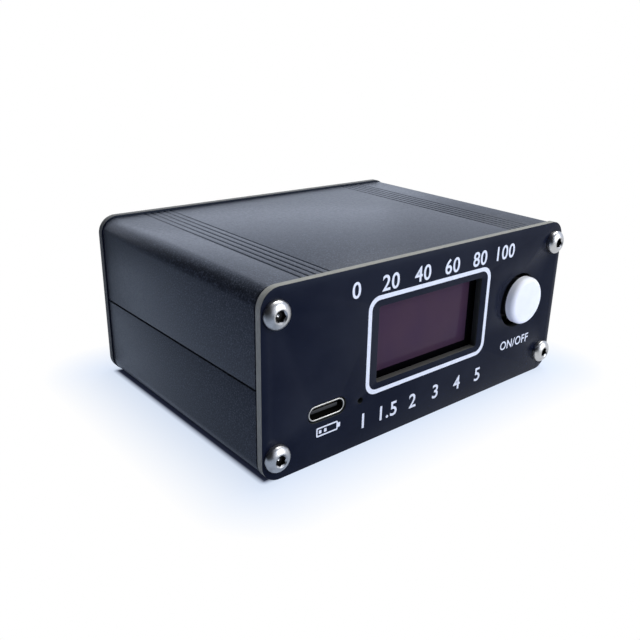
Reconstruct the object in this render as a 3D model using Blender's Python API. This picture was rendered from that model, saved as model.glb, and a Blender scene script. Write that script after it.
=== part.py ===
"""A pocket radio power and standing wave ratio meter in a split extruded case.

Lengths are in metres. X runs to the right along the front panel, Y to the rear and Z up. Pieces are
placed from the middle of the front panel's lower edge, and case_origin then carries them all to the
part's origin, which is the middle of the whole object's footprint.
"""

import math

import bmesh
import bpy
from mathutils import Matrix, Vector

# Case
CASE_WIDTH = 0.0880
CASE_HEIGHT = 0.0380
CASE_DEPTH = 0.0632
PANEL_THICKNESS = 0.0016
PANEL_CORNER_RADIUS = 0.0040
PANEL_OVERHANG = 0.0004
SEAT_GAP = 0.0003
CUT_OVERRUN = 0.0010
WELD_DISTANCE = 0.000001

# Extruded half shells
SHELL_WALL = 0.0016
SHELL_CORNER_RADIUS = 0.0034
SEAM_GAP = 0.0004
SEAM_STEP = 0.0004
TONGUE_REACH = 0.0013
GROOVE_COUNT = 5
GROOVE_PITCH = 0.00165
GROOVE_WIDTH = 0.0008
GROOVE_DEPTH = 0.0005
GROOVE_FLOOR_SHARE = 0.5
GROOVE_BAND_INSET = 0.0136
PORT_MOUTH = 0.0016
PORT_TOP_WALL = 0.00035
PORT_LIP = 0.00095
RIB_THICKNESS = 0.0010
RIB_REACH = 0.0016

# Screws and nuts
SCREW_SIDE_INSET = 0.0031
SCREW_EDGE_INSET = 0.0049
SCREW_RADIUS = 0.00145
SCREW_LENGTH = 0.0080
HEAD_RADIUS = 0.00275
HEAD_HEIGHT = 0.00145
HEAD_RIM = 0.00030
HEAD_FLAT_SHARE = 0.54
HEX_FLATS = 0.0020
HEX_DEPTH = 0.00100
NUT_FLATS = 0.0055
NUT_HEIGHT = 0.0024

# Display
GLASS_SET_BACK = 0.00115
GLASS_WIDTH = 0.0345
GLASS_HEIGHT = 0.0230
GLASS_THICKNESS = 0.0015
GLASS_CORNER_RADIUS = 0.0004
ACTIVE_WIDTH = 0.02942
ACTIVE_HEIGHT = 0.0147
ACTIVE_TOP_MARGIN = 0.0021
ACTIVE_RISE = 0.0019
WINDOW_MARGIN = 0.0008
WINDOW_CORNER_RADIUS = 0.0005
DISPLAY_X = -0.0006
DISPLAY_BOARD_WIDTH = 0.0354
DISPLAY_BOARD_THICKNESS = 0.0012
DISPLAY_BOARD_CLEARANCE = 0.00035
DISPLAY_HOLE_RADIUS = 0.0015
DISPLAY_HOLE_INSET = 0.0025

# Pin headers
PIN_PITCH = 0.00254
PIN_SIDE = 0.00064
PIN_STICK_OUT = 0.0007
DISPLAY_PIN_COUNT = 4
HEADER_DEPTH = 0.0025
HEADER_STANDOFF = 0.00225
LINK_PIN_COUNT = 8
LINK_HEADER_X = 0.0100
LINK_HEADER_SIDE = 0.0025
LINK_BEND_REACH = 0.0014

# Boards
BOARD_THICKNESS = 0.0016
BOARD_CORNER_RADIUS = 0.0010
BOARD_END_GAP = 0.0006
BOARD_REAR_GAP = 0.0005
FRONT_BOARD_MARGIN = 0.0025
FRONT_BOARD_SIDE_GAP = 0.0004
NOTCH_CLEARANCE = 0.0006

# Push button
SWITCH_SIZE = 0.0120
SWITCH_CORNER_RADIUS = 0.0008
SWITCH_BODY_HEIGHT = 0.0037
SWITCH_PLACE_SHARE = 0.611
BUTTON_RISE = 0.0020
BUTTON_TRAVEL = 0.0003
STEM_SIDE = 0.0038
PLUNGER_LEDGE = 0.00041
PLUNGER_BASE_DEPTH = 0.0018
STEM_HEIGHT = 0.0036
CAP_RADIUS = 0.00565
CAP_PROTRUSION = 0.0026
CAP_EDGE_RADIUS = 0.0010
CAP_WALL = 0.0013
CAP_REAR_GAP = 0.0013
CAP_BOSS_WALL = 0.00059

# Charging port and indicator
USB_WIDTH = 0.00894
USB_HEIGHT = 0.00316
USB_LENGTH = 0.00735
USB_WALL = 0.0003
USB_SET_BACK = 0.0002
USB_PLACE_SHARE = 0.715
TONGUE_SIDE_GAP = 0.00087
TONGUE_THICKNESS = 0.0007
TONGUE_SET_BACK = 0.0008
PORT_BLOCK_LENGTH = 0.0018
LED_WIDTH = 0.0024
LED_HEIGHT = 0.0018
LED_DEPTH = 0.0020
LED_CORNER_RADIUS = 0.0004
LED_SIDE_GAP = 0.00075
LED_HOLE_RADIUS = 0.0007

# Coaxial sockets on the rear panel
FLANGE_SIDE_GAP = 0.00345
FLANGE_THICKNESS = 0.0020
FLANGE_CORNER_RADIUS = 0.0012
FLANGE_HOLE_MARGIN = 0.00183
FLANGE_HEAD_GAP = 0.00221
BARREL_RADIUS = 0.00794
BARREL_WALL = 0.00154
BARREL_LENGTH = 0.0152
BARREL_CHAMFER = 0.0006
BARREL_NOTCH_WIDTH = 0.0018
BARREL_NOTCH_DEPTH = 0.0010
BOSS_STEP = 0.00194
BOSS_WALL = 0.0015
BOSS_LENGTH = 0.0045
INSULATOR_RECESS = 0.0020
INSULATOR_TAIL = 0.0005
CONTACT_RADIUS = 0.0027
CONTACT_BORE_RADIUS = 0.0020
CONTACT_BORE_DEPTH = 0.0110
CONTACT_RISE = 0.0005
CONTACT_TAIL_RADIUS = 0.0014
CONTACT_TAIL_LENGTH = 0.0080
CUP_DEPTH = 0.0025

# Transformers and the wire between the sockets
CORE_RADIUS = 0.00635
CORE_BORE_RADIUS = 0.00358
CORE_HEIGHT = 0.0049
CORE_CHAMFER = 0.0005
WINDING_WIRE_RADIUS = 0.0003
WINDING_TURNS = 12
WINDING_SPAN_SHARE = 0.82
LINE_WIRE_RADIUS = 0.0006
LINE_RUN_OUT = 0.0020
LINE_BEND_RADIUS = 0.0040
VOLTAGE_CORE_SIDE_GAP = 0.00665
VOLTAGE_CORE_SET_BACK = 0.0105

# Battery and its lead
BATTERY_HEIGHT = 0.0060
BATTERY_WALL_GAP = 0.0030
BATTERY_EDGE_RADIUS = 0.0012
BATTERY_RIGHT_X = -0.0090
LEAD_RADIUS = 0.0006
LEAD_PITCH = 0.0020
LEAD_LENGTH = 0.0032
LEAD_RISE = 0.0008
PLUG_LENGTH = 0.0060
PLUG_WIDTH = 0.0042
PLUG_HEIGHT = 0.0026
PLUG_STICK_OUT = 0.0014
PLUG_SOCKET_WALL = 0.0008
PLUG_PLACE_SHARE = 0.20

# Chips
PROCESSOR_SIDE = 0.0070
PROCESSOR_HEIGHT = 0.0014
PROCESSOR_SIDE_SHARE = 0.50
PROCESSOR_DEPTH_SHARE = 0.20
CHARGER_PLACE_SHARE = 0.60
SMALL_CHIP_WIDTH = 0.0049
SMALL_CHIP_DEPTH = 0.0039
SMALL_CHIP_HEIGHT = 0.0015
CHIP_EDGE = 0.0002
ZONE_CLEARANCE = 0.0012

# Facets round a circle, by how large the piece looks
LARGE_STEPS = 32
MEDIUM_STEPS = 20
SMALL_STEPS = 16
HOLE_STEPS = 12
PIN_HOLE_STEPS = 8
CORNER_STEPS = 5
DOME_STEPS = 3
SMOOTH_ANGLE = math.radians(35)

# Sizes worked out from the ones above
SHELL_HALF_WIDTH = CASE_WIDTH / 2 - PANEL_OVERHANG
SHELL_HALF_HEIGHT = CASE_HEIGHT / 2 - PANEL_OVERHANG
SHELL_FRONT = PANEL_THICKNESS + SEAT_GAP
SHELL_LENGTH = CASE_DEPTH - 2 * SHELL_FRONT
MID_HEIGHT = CASE_HEIGHT / 2
INNER_HALF_WIDTH = SHELL_HALF_WIDTH - SHELL_WALL
INNER_HALF_HEIGHT = SHELL_HALF_HEIGHT - SHELL_WALL
LIP = (SHELL_WALL - SEAT_GAP) / 2
SCREW_X = CASE_WIDTH / 2 - SCREW_SIDE_INSET
SCREW_RISE = CASE_HEIGHT / 2 - SCREW_EDGE_INSET
SCREW_HOLE_RADIUS = SCREW_RADIUS + SEAT_GAP
PORT_BLOCK_X = SCREW_X - SCREW_HOLE_RADIUS - PORT_LIP
RIB_X = INNER_HALF_WIDTH - RIB_REACH
SLOT_FLOOR = SCREW_HOLE_RADIUS + PORT_TOP_WALL - SCREW_RISE
SLOT_HEIGHT = BOARD_THICKNESS + 2 * SEAT_GAP
BOARD_BOTTOM = MID_HEIGHT + SLOT_FLOOR + SEAT_GAP
BOARD_TOP = BOARD_BOTTOM + BOARD_THICKNESS
ON_BOARD = BOARD_TOP + SEAT_GAP
BOARD_FRONT = PANEL_THICKNESS + BOARD_END_GAP
BOARD_HALF_WIDTH = INNER_HALF_WIDTH - SEAT_GAP

ACTIVE_Z = MID_HEIGHT + ACTIVE_RISE
WINDOW_WIDTH = ACTIVE_WIDTH + 2 * WINDOW_MARGIN
WINDOW_HEIGHT = ACTIVE_HEIGHT + 2 * WINDOW_MARGIN
GLASS_TOP = ACTIVE_Z + ACTIVE_HEIGHT / 2 + ACTIVE_TOP_MARGIN
GLASS_FRONT = PANEL_THICKNESS + GLASS_SET_BACK
MODULE_HALF_WIDTH = max(GLASS_WIDTH, DISPLAY_BOARD_WIDTH) / 2
DISPLAY_BOARD_FRONT = GLASS_FRONT + GLASS_THICKNESS + SEAT_GAP
DISPLAY_BOARD_REAR = DISPLAY_BOARD_FRONT + DISPLAY_BOARD_THICKNESS
DISPLAY_BOARD_HEIGHT = 2 * (INNER_HALF_HEIGHT - DISPLAY_BOARD_CLEARANCE)
DISPLAY_BOARD_TOP = MID_HEIGHT + DISPLAY_BOARD_HEIGHT / 2
DISPLAY_HEADER_Z = (GLASS_TOP + DISPLAY_BOARD_TOP) / 2
FRONT_BOARD_FRONT = DISPLAY_BOARD_REAR + HEADER_STANDOFF + 2 * SEAT_GAP
FRONT_BOARD_REAR = FRONT_BOARD_FRONT + BOARD_THICKNESS
FRONT_BOARD_LEFT = DISPLAY_X - MODULE_HALF_WIDTH - FRONT_BOARD_MARGIN
FRONT_BOARD_RIGHT = PORT_BLOCK_X - FRONT_BOARD_SIDE_GAP
NOTCH_HALF_WIDTH = MODULE_HALF_WIDTH + NOTCH_CLEARANCE
NOTCH_REAR = DISPLAY_BOARD_REAR + NOTCH_CLEARANCE
LINK_HEADER_FRONT = FRONT_BOARD_REAR + SEAT_GAP
LINK_HEADER_REAR = LINK_HEADER_FRONT + LINK_HEADER_SIDE
LINK_PIN_Y = LINK_HEADER_REAR + LINK_BEND_REACH
LINK_PIN_Z = ON_BOARD + LINK_HEADER_SIDE / 2

DISPLAY_RIGHT = DISPLAY_X + MODULE_HALF_WIDTH
BUTTON_X = DISPLAY_RIGHT + SWITCH_PLACE_SHARE * (FRONT_BOARD_RIGHT - DISPLAY_RIGHT)
BUTTON_Z = MID_HEIGHT + BUTTON_RISE
SWITCH_FRONT = FRONT_BOARD_FRONT - SEAT_GAP - SWITCH_BODY_HEIGHT
STEM_FRONT = SWITCH_FRONT - STEM_HEIGHT
CAP_REAR = SWITCH_FRONT - CAP_REAR_GAP
CAP_HOLE_RADIUS = CAP_RADIUS + SEAT_GAP
PLUNGER_RADIUS = STEM_SIDE / math.sqrt(2) + PLUNGER_LEDGE
CAP_BOSS_RADIUS = (STEM_SIDE + 2 * SEAT_GAP) / math.sqrt(2) + CAP_BOSS_WALL
PIN_HOLE_RADIUS = (PIN_SIDE / math.sqrt(2) + SEAT_GAP) / math.cos(math.pi / PIN_HOLE_STEPS)

LED_X = DISPLAY_X - MODULE_HALF_WIDTH - LED_SIDE_GAP - LED_WIDTH / 2
LED_Z = ON_BOARD + LED_HEIGHT / 2
LED_LEFT = LED_X - LED_WIDTH / 2
USB_ROOM = LED_LEFT + RIB_X - USB_WIDTH
USB_X = USB_PLACE_SHARE * USB_ROOM + USB_WIDTH / 2 - RIB_X
USB_Z = ON_BOARD + USB_HEIGHT / 2
TONGUE_WIDTH = USB_WIDTH - 2 * (USB_WALL + TONGUE_SIDE_GAP)

BARREL_BORE_RADIUS = BARREL_RADIUS - BARREL_WALL
BOSS_RADIUS = BARREL_RADIUS - BOSS_STEP
BOSS_BORE_RADIUS = BOSS_RADIUS - BOSS_WALL
FLANGE_HOLE_OFFSET = (BARREL_RADIUS + HEAD_RADIUS + FLANGE_HEAD_GAP) / math.sqrt(2)
FLANGE_SIDE = 2 * (FLANGE_HOLE_OFFSET + SCREW_HOLE_RADIUS + FLANGE_HOLE_MARGIN)
SOCKET_X = SCREW_X - HEAD_RADIUS - FLANGE_SIDE_GAP - FLANGE_SIDE / 2
FLANGE_FRONT = CASE_DEPTH + SEAT_GAP
FLANGE_REAR = FLANGE_FRONT + FLANGE_THICKNESS
BARREL_REAR = FLANGE_REAR + BARREL_LENGTH
BOSS_END = FLANGE_FRONT - BOSS_LENGTH
CONTACT_END = BOSS_END - INSULATOR_TAIL - CONTACT_TAIL_LENGTH
FLANGE_SCREW_TIP = FLANGE_REAR + SEAT_GAP - SCREW_LENGTH
NUT_FRONT = CASE_DEPTH - PANEL_THICKNESS - SEAT_GAP - NUT_HEIGHT
BOARD_REAR = min(FLANGE_SCREW_TIP, NUT_FRONT) - BOARD_REAR_GAP
WINDING_REACH = SEAT_GAP + 2 * WINDING_WIRE_RADIUS
CORE_OUTER_REACH = CORE_RADIUS + WINDING_REACH
LINE_Y = CONTACT_END - LINE_RUN_OUT - LINE_BEND_RADIUS
CURRENT_CORE_Z = ON_BOARD + CORE_OUTER_REACH
VOLTAGE_CORE_X = RIB_X - VOLTAGE_CORE_SIDE_GAP - CORE_OUTER_REACH
VOLTAGE_CORE_Y = LINE_Y - VOLTAGE_CORE_SET_BACK
VOLTAGE_CORE_Z = ON_BOARD + WINDING_REACH + CORE_HEIGHT / 2

ZONE_FRONT = LINK_PIN_Y + ZONE_CLEARANCE
ZONE_REAR = LINE_Y - CORE_OUTER_REACH - ZONE_CLEARANCE
ZONE_DEPTH = ZONE_REAR - ZONE_FRONT
BATTERY_LEFT_X = BATTERY_WALL_GAP - INNER_HALF_WIDTH
PLUG_SOCKET_WIDTH = PLUG_WIDTH + 2 * (SEAT_GAP + PLUG_SOCKET_WALL)
PLUG_Y = ZONE_FRONT + PLUG_SOCKET_WIDTH / 2 + PLUG_PLACE_SHARE * (ZONE_DEPTH - PLUG_SOCKET_WIDTH)
PLUG_Z = ON_BOARD + PLUG_SOCKET_WALL + SEAT_GAP + PLUG_HEIGHT / 2
PLUG_LEFT_X = BATTERY_RIGHT_X + 2 * SEAT_GAP + LEAD_LENGTH
PLUG_CAVITY_DEPTH = PLUG_LENGTH - PLUG_STICK_OUT + SEAT_GAP
PLUG_SOCKET_LEFT = PLUG_LEFT_X + PLUG_STICK_OUT
PLUG_SOCKET_RIGHT = PLUG_SOCKET_LEFT + PLUG_CAVITY_DEPTH + PLUG_SOCKET_WALL
PROCESSOR_ROOM = VOLTAGE_CORE_X - CORE_OUTER_REACH - PLUG_SOCKET_RIGHT - PROCESSOR_SIDE

OBJECT_MIDDLE_Y = (BARREL_REAR - CAP_PROTRUSION) / 2

# Directions that an outline's two axes and its depth take
UPRIGHT = (Vector((1, 0, 0)), Vector((0, 0, 1)), Vector((0, 1, 0)))
FLAT = (Vector((1, 0, 0)), Vector((0, 1, 0)), Vector((0, 0, 1)))
SIDEWAYS = (Vector((0, 1, 0)), Vector((0, 0, 1)), Vector((1, 0, 0)))


def clear_scene():
    for old in list(bpy.data.objects):
        bpy.data.objects.remove(old)


# Materials


def finish(name, colour, roughness, metallic):
    found = bpy.data.materials.get(name)
    if found:
        return found
    made = bpy.data.materials.new(name)
    made.use_nodes = True
    shader = made.node_tree.nodes["Principled BSDF"]
    shader.inputs["Base Color"].default_value = (*colour, 1)
    shader.inputs["Roughness"].default_value = roughness
    shader.inputs["Metallic"].default_value = metallic
    made.diffuse_color = (*colour, 1)
    return made


def black_anodised():
    return finish("black_anodised", (0.045, 0.050, 0.060), 0.45, 0.6)


def black_panel():
    return finish("black_panel", (0.012, 0.014, 0.022), 0.40, 0.0)


def bright_steel():
    return finish("bright_steel", (0.72, 0.72, 0.70), 0.25, 1.0)


def nickel():
    return finish("nickel", (0.66, 0.64, 0.58), 0.28, 1.0)


def white_plastic():
    return finish("white_plastic", (0.83, 0.84, 0.86), 0.40, 0.0)


def black_plastic():
    return finish("black_plastic", (0.02, 0.02, 0.02), 0.50, 0.0)


def display_black():
    return finish("display_glass", (0.05, 0.03, 0.06), 0.12, 0.0)


def board_green():
    return finish("board_green", (0.02, 0.10, 0.06), 0.45, 0.0)


def insulator_white():
    return finish("insulator_white", (0.86, 0.86, 0.82), 0.50, 0.0)


def contact_gold():
    return finish("contact_gold", (0.83, 0.63, 0.25), 0.30, 1.0)


def copper():
    return finish("copper", (0.75, 0.38, 0.20), 0.32, 1.0)


def ferrite():
    return finish("ferrite", (0.08, 0.08, 0.085), 0.65, 0.0)


def battery_foil():
    return finish("battery_foil", (0.60, 0.62, 0.65), 0.35, 0.8)


def red_lead():
    return finish("red_lead", (0.60, 0.03, 0.02), 0.50, 0.0)


# Outlines: lists of points round a shape, anticlockwise


def circle(radius, steps, centre=(0, 0)):
    points = []
    for step in range(steps):
        angle = 2 * math.pi * step / steps
        points.append((centre[0] + radius * math.cos(angle), centre[1] + radius * math.sin(angle)))
    return points


def arc(centre, radius, first_angle, last_angle, steps):
    points = []
    for step in range(steps + 1):
        angle = first_angle + (last_angle - first_angle) * step / steps
        points.append((centre[0] + radius * math.cos(angle), centre[1] + radius * math.sin(angle)))
    return points


def rounded_rectangle(width, height, radius, centre=(0, 0), steps=CORNER_STEPS):
    radius = min(radius, width / 2, height / 2)
    points = []
    for turn, (side_u, side_v) in enumerate(((1, 1), (-1, 1), (-1, -1), (1, -1))):
        corner = (centre[0] + side_u * (width / 2 - radius), centre[1] + side_v * (height / 2 - radius))
        points += arc(corner, radius, turn * math.pi / 2, (turn + 1) * math.pi / 2, steps)
    return without_repeats(points)


def rectangle(width, height, centre=(0, 0)):
    half_u = width / 2
    half_v = height / 2
    return [
        (centre[0] + side_u * half_u, centre[1] + side_v * half_v)
        for side_u, side_v in ((1, 1), (-1, 1), (-1, -1), (1, -1))
    ]


def without_repeats(points):
    """Drops points that coincide with the one before, as where two corner arcs meet."""
    kept = []
    for index, point in enumerate(points):
        before = points[index - 1]
        if math.dist(point, before) > WELD_DISTANCE:
            kept.append(point)
    return kept


def mirrored(points):
    """The outline's other half, in reverse order so that it follows on."""
    return [(-u, v) for u, v in reversed(points)]


# Mesh builders


def extruded(outlines, depth, axes, start=(0, 0, 0)):
    """A solid of the first outline, with the other outlines as holes, drawn out by depth."""
    along_u, along_v, along_depth = axes
    bm = bmesh.new()
    edges = []
    for outline in outlines:
        verts = [bm.verts.new(Vector(start) + along_u * u + along_v * v) for u, v in outline]
        edges += [bm.edges.new(pair) for pair in zip(verts, verts[1:] + verts[:1])]
    bmesh.ops.triangle_fill(bm, edges=edges, use_beauty=True, normal=-along_depth)
    drawn = bmesh.ops.extrude_face_region(bm, geom=bm.faces[:])
    moved = [item for item in drawn["geom"] if isinstance(item, bmesh.types.BMVert)]
    bmesh.ops.translate(bm, vec=along_depth * depth, verts=moved)
    bmesh.ops.recalc_face_normals(bm, faces=bm.faces[:])
    return bm


def turned(profile, steps, closed=False):
    """A solid of revolution about the Y axis, from points of radius and place along it."""
    bm = bmesh.new()
    verts = [bm.verts.new((radius, along, 0)) for radius, along in profile]
    ends = verts[1:] + verts[:1] if closed else verts[1:]
    edges = [bm.edges.new(pair) for pair in zip(verts, ends)]
    bmesh.ops.spin(
        bm,
        geom=verts + edges,
        cent=(0, 0, 0),
        axis=(0, 1, 0),
        angle=2 * math.pi,
        steps=steps,
        use_merge=True,
    )
    bmesh.ops.remove_doubles(bm, verts=bm.verts[:], dist=WELD_DISTANCE)
    bmesh.ops.recalc_face_normals(bm, faces=bm.faces[:])
    return bm


def mesh_of(bm, name):
    mesh = bpy.data.meshes.new(name)
    bm.to_mesh(mesh)
    bm.free()
    return mesh


def placed(name, mesh, material, parent, place=(0, 0, 0), smooth=False):
    piece = bpy.data.objects.new(name, mesh)
    bpy.context.scene.collection.objects.link(piece)
    piece.location = place
    piece.parent = parent
    if not mesh.materials:
        mesh.materials.append(material)
    if smooth:
        mesh.shade_smooth()
        mesh.set_sharp_from_angle(angle=SMOOTH_ANGLE)
    return piece


def helper(name, bm, parent, place=(0, 0, 0)):
    """A hidden shape that cuts another, or is joined to it."""
    shape = bpy.data.objects.new(name, mesh_of(bm, name))
    bpy.context.scene.collection.objects.link(shape)
    shape.location = place
    shape.parent = parent
    shape.hide_render = True
    shape.display_type = "WIRE"
    return shape


def combine(piece, shape, operation):
    step = piece.modifiers.new(shape.name, "BOOLEAN")
    step.operation = operation
    step.object = shape
    step.solver = "EXACT"
    return piece


def softened(piece, width, segments=2):
    edge = piece.modifiers.new("edge", "BEVEL")
    edge.width = width
    edge.segments = segments
    edge.limit_method = "ANGLE"
    return piece


def wire(name, points, radius, material, parent, bevel_resolution=2):
    """A round wire along a row of points, with closed ends."""
    curve = bpy.data.curves.new(name, "CURVE")
    curve.dimensions = "3D"
    curve.bevel_depth = radius
    curve.bevel_resolution = bevel_resolution
    curve.use_fill_caps = True
    spline = curve.splines.new("POLY")
    spline.points.add(len(points) - 1)
    for knot, point in zip(spline.points, points):
        knot.co = (*point, 1)
    curve.materials.append(material)
    piece = bpy.data.objects.new(name, curve)
    bpy.context.scene.collection.objects.link(piece)
    piece.parent = parent
    return piece


def empty(name, parent=None, place=(0, 0, 0)):
    frame = bpy.data.objects.new(name, None)
    bpy.context.scene.collection.objects.link(frame)
    frame.location = place
    frame.parent = parent
    return frame


# Half shells


def groove(centre_u, floor_v):
    """One fine groove in the flat outer face, from left to right."""
    half = GROOVE_WIDTH / 2
    narrow = half * GROOVE_FLOOR_SHARE
    return [
        (centre_u - half, floor_v),
        (centre_u - narrow, floor_v + GROOVE_DEPTH),
        (centre_u + narrow, floor_v + GROOVE_DEPTH),
        (centre_u + half, floor_v),
    ]


def groove_band(middle_u, floor_v):
    points = []
    for index in range(GROOVE_COUNT):
        offset = (index - (GROOVE_COUNT - 1) / 2) * GROOVE_PITCH
        points += groove(middle_u + offset, floor_v)
    return points


def shell_outer_side():
    """The outer face from the left corner's top to the right corner's top, below the seam."""
    radius = SHELL_CORNER_RADIUS
    corner = (SHELL_HALF_WIDTH - radius, radius - SHELL_HALF_HEIGHT)
    band_u = SHELL_HALF_WIDTH - GROOVE_BAND_INSET
    left = arc((-corner[0], corner[1]), radius, math.pi, 1.5 * math.pi, CORNER_STEPS)
    right = arc(corner, radius, 1.5 * math.pi, 2 * math.pi, CORNER_STEPS)
    return left + groove_band(-band_u, -SHELL_HALF_HEIGHT) + groove_band(band_u, -SHELL_HALF_HEIGHT) + right


def shell_inner_side():
    """The inner contour from the right wall's step down to the floor's middle."""
    mouth = PORT_MOUTH / 2
    mouth_angle = math.asin(mouth / SCREW_HOLE_RADIUS)
    bore = arc(
        (SCREW_X, -SCREW_RISE),
        SCREW_HOLE_RADIUS,
        math.pi - mouth_angle,
        mouth_angle - math.pi,
        HOLE_STEPS,
    )
    slot_ceiling = SLOT_FLOOR + SLOT_HEIGHT
    return [
        (INNER_HALF_WIDTH, slot_ceiling + RIB_THICKNESS),
        (RIB_X, slot_ceiling + RIB_THICKNESS),
        (RIB_X, slot_ceiling),
        (INNER_HALF_WIDTH, slot_ceiling),
        (INNER_HALF_WIDTH, SLOT_FLOOR),
        (PORT_BLOCK_X, SLOT_FLOOR),
        (PORT_BLOCK_X, mouth - SCREW_RISE),
        *bore,
        (PORT_BLOCK_X, -mouth - SCREW_RISE),
        (PORT_BLOCK_X, -INNER_HALF_HEIGHT),
    ]


def shell_outline():
    """The cross-section of one half shell, about the axis that the two halves are turned over on."""
    left_shoulder = -SEAM_STEP - SEAM_GAP / 2
    tongue_top = left_shoulder + TONGUE_REACH
    right_lip_top = SEAM_STEP - SEAM_GAP / 2
    right_shoulder = -tongue_top - SEAT_GAP
    right_seam = [
        (SHELL_HALF_WIDTH, right_lip_top),
        (SHELL_HALF_WIDTH - LIP, right_lip_top),
        (SHELL_HALF_WIDTH - LIP, right_shoulder),
        (INNER_HALF_WIDTH, right_shoulder),
    ]
    left_seam = [
        (-INNER_HALF_WIDTH, tongue_top),
        (-INNER_HALF_WIDTH - LIP, tongue_top),
        (-INNER_HALF_WIDTH - LIP, left_shoulder),
        (-SHELL_HALF_WIDTH, left_shoulder),
    ]
    inner = shell_inner_side()
    return shell_outer_side() + right_seam + inner + mirrored(inner) + left_seam


def half_shells(case):
    bm = extruded([shell_outline()], SHELL_LENGTH, UPRIGHT)
    mesh = mesh_of(bm, "half_shell")
    place = (0, SHELL_FRONT, MID_HEIGHT)
    lower = placed("lower_shell", mesh, black_anodised(), case, place, smooth=True)
    upper = placed("upper_shell", mesh, black_anodised(), case, place)
    upper.rotation_euler = (0, math.pi, 0)
    return lower, upper


# Panels


def corner_screw_places():
    for side_z, height_word in ((1, "top"), (-1, "bottom")):
        for side_x, side_word in ((-1, "left"), (1, "right")):
            yield f"{height_word}_{side_word}", side_x * SCREW_X, MID_HEIGHT + side_z * SCREW_RISE


def panel_outline():
    return rounded_rectangle(CASE_WIDTH, CASE_HEIGHT, PANEL_CORNER_RADIUS, (0, MID_HEIGHT))


def corner_screw_holes():
    return [circle(SCREW_HOLE_RADIUS, HOLE_STEPS, (x, z)) for _, x, z in corner_screw_places()]


def front_panel(case):
    window = rounded_rectangle(
        WINDOW_WIDTH, WINDOW_HEIGHT, WINDOW_CORNER_RADIUS, (DISPLAY_X, ACTIVE_Z), steps=3
    )
    slot_height = USB_HEIGHT + 2 * SEAT_GAP
    slot = rounded_rectangle(USB_WIDTH + 2 * SEAT_GAP, slot_height, slot_height / 2, (USB_X, USB_Z))
    indicator = circle(LED_HOLE_RADIUS, HOLE_STEPS, (LED_X, LED_Z))
    button = circle(CAP_HOLE_RADIUS, LARGE_STEPS, (BUTTON_X, BUTTON_Z))
    holes = [window, slot, indicator, button, *corner_screw_holes()]
    bm = extruded([panel_outline(), *holes], PANEL_THICKNESS, UPRIGHT)
    return placed("front_panel", mesh_of(bm, "front_panel"), black_panel(), case)


def socket_places():
    return (("input", -SOCKET_X), ("output", SOCKET_X))


def flange_screw_places():
    offset = FLANGE_HOLE_OFFSET
    for socket_name, socket_x in socket_places():
        for index, (side_x, side_z) in enumerate(((-1, 1), (1, 1), (-1, -1), (1, -1)), start=1):
            yield socket_name, index, socket_x + side_x * offset, MID_HEIGHT + side_z * offset


def rear_panel(case):
    bosses = [
        circle(BOSS_RADIUS + SEAT_GAP, LARGE_STEPS, (x, MID_HEIGHT)) for _, x in socket_places()
    ]
    screws = [circle(SCREW_HOLE_RADIUS, HOLE_STEPS, (x, z)) for _, _, x, z in flange_screw_places()]
    bm = extruded([panel_outline(), *bosses, *screws, *corner_screw_holes()], PANEL_THICKNESS, UPRIGHT)
    place = (0, CASE_DEPTH - PANEL_THICKNESS, 0)
    return placed("rear_panel", mesh_of(bm, "rear_panel"), black_panel(), case, place)


# Screws and nuts


def screw_profile():
    """Half section of a button head screw, its shank towards +Y, up to the head's flat crown."""
    flat = HEAD_RADIUS * HEAD_FLAT_SHARE
    profile = [(0, SCREW_LENGTH), (SCREW_RADIUS, SCREW_LENGTH), (SCREW_RADIUS, 0), (HEAD_RADIUS, 0)]
    for step in range(DOME_STEPS + 1):
        angle = math.pi / 2 * step / DOME_STEPS
        radius = flat + (HEAD_RADIUS - flat) * math.cos(angle)
        height = HEAD_RIM + (HEAD_HEIGHT - HEAD_RIM) * math.sin(angle)
        profile.append((radius, -height))
    return profile


def screw_mesh():
    bm = turned(screw_profile(), SMALL_STEPS)
    rim = [edge for edge in bm.edges if edge.is_boundary]
    corner_radius = HEX_FLATS / math.sqrt(3)
    mouth = [bm.verts.new((u, -HEAD_HEIGHT, v)) for u, v in circle(corner_radius, 6)]
    floor = [bm.verts.new((u, HEX_DEPTH - HEAD_HEIGHT, v)) for u, v in circle(corner_radius, 6)]
    mouth_edges = [bm.edges.new(pair) for pair in zip(mouth, mouth[1:] + mouth[:1])]
    bmesh.ops.triangle_fill(bm, edges=rim + mouth_edges, use_beauty=True, normal=(0, -1, 0))
    for index in range(6):
        after = (index + 1) % 6
        bm.faces.new((mouth[index], mouth[after], floor[after], floor[index]))
    bm.faces.new(floor)
    bmesh.ops.recalc_face_normals(bm, faces=bm.faces[:])
    return mesh_of(bm, "button_head_screw")


def nut_mesh():
    hexagon = circle(NUT_FLATS / math.sqrt(3), 6)
    bm = extruded([hexagon, circle(SCREW_HOLE_RADIUS, HOLE_STEPS)], NUT_HEIGHT, UPRIGHT)
    return mesh_of(bm, "nut")


def screw(name, mesh, case, x, y, z, from_rear):
    piece = placed(name, mesh, bright_steel(), case, (x, y, z), smooth=True)
    if from_rear:
        piece.rotation_euler = (0, 0, math.pi)
    return piece


def fasteners(case):
    screw_shape = screw_mesh()
    nut_shape = nut_mesh()
    for word, x, z in corner_screw_places():
        screw(f"front_screw_{word}", screw_shape, case, x, -SEAT_GAP, z, from_rear=False)
        screw(f"rear_screw_{word}", screw_shape, case, x, CASE_DEPTH + SEAT_GAP, z, from_rear=True)
    for socket_name, index, x, z in flange_screw_places():
        name = f"{socket_name}_flange_screw_{index}"
        screw(name, screw_shape, case, x, FLANGE_REAR + SEAT_GAP, z, from_rear=True)
        placed(f"{socket_name}_flange_nut_{index}", nut_shape, bright_steel(), case, (x, NUT_FRONT, z))


# Display


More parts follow.
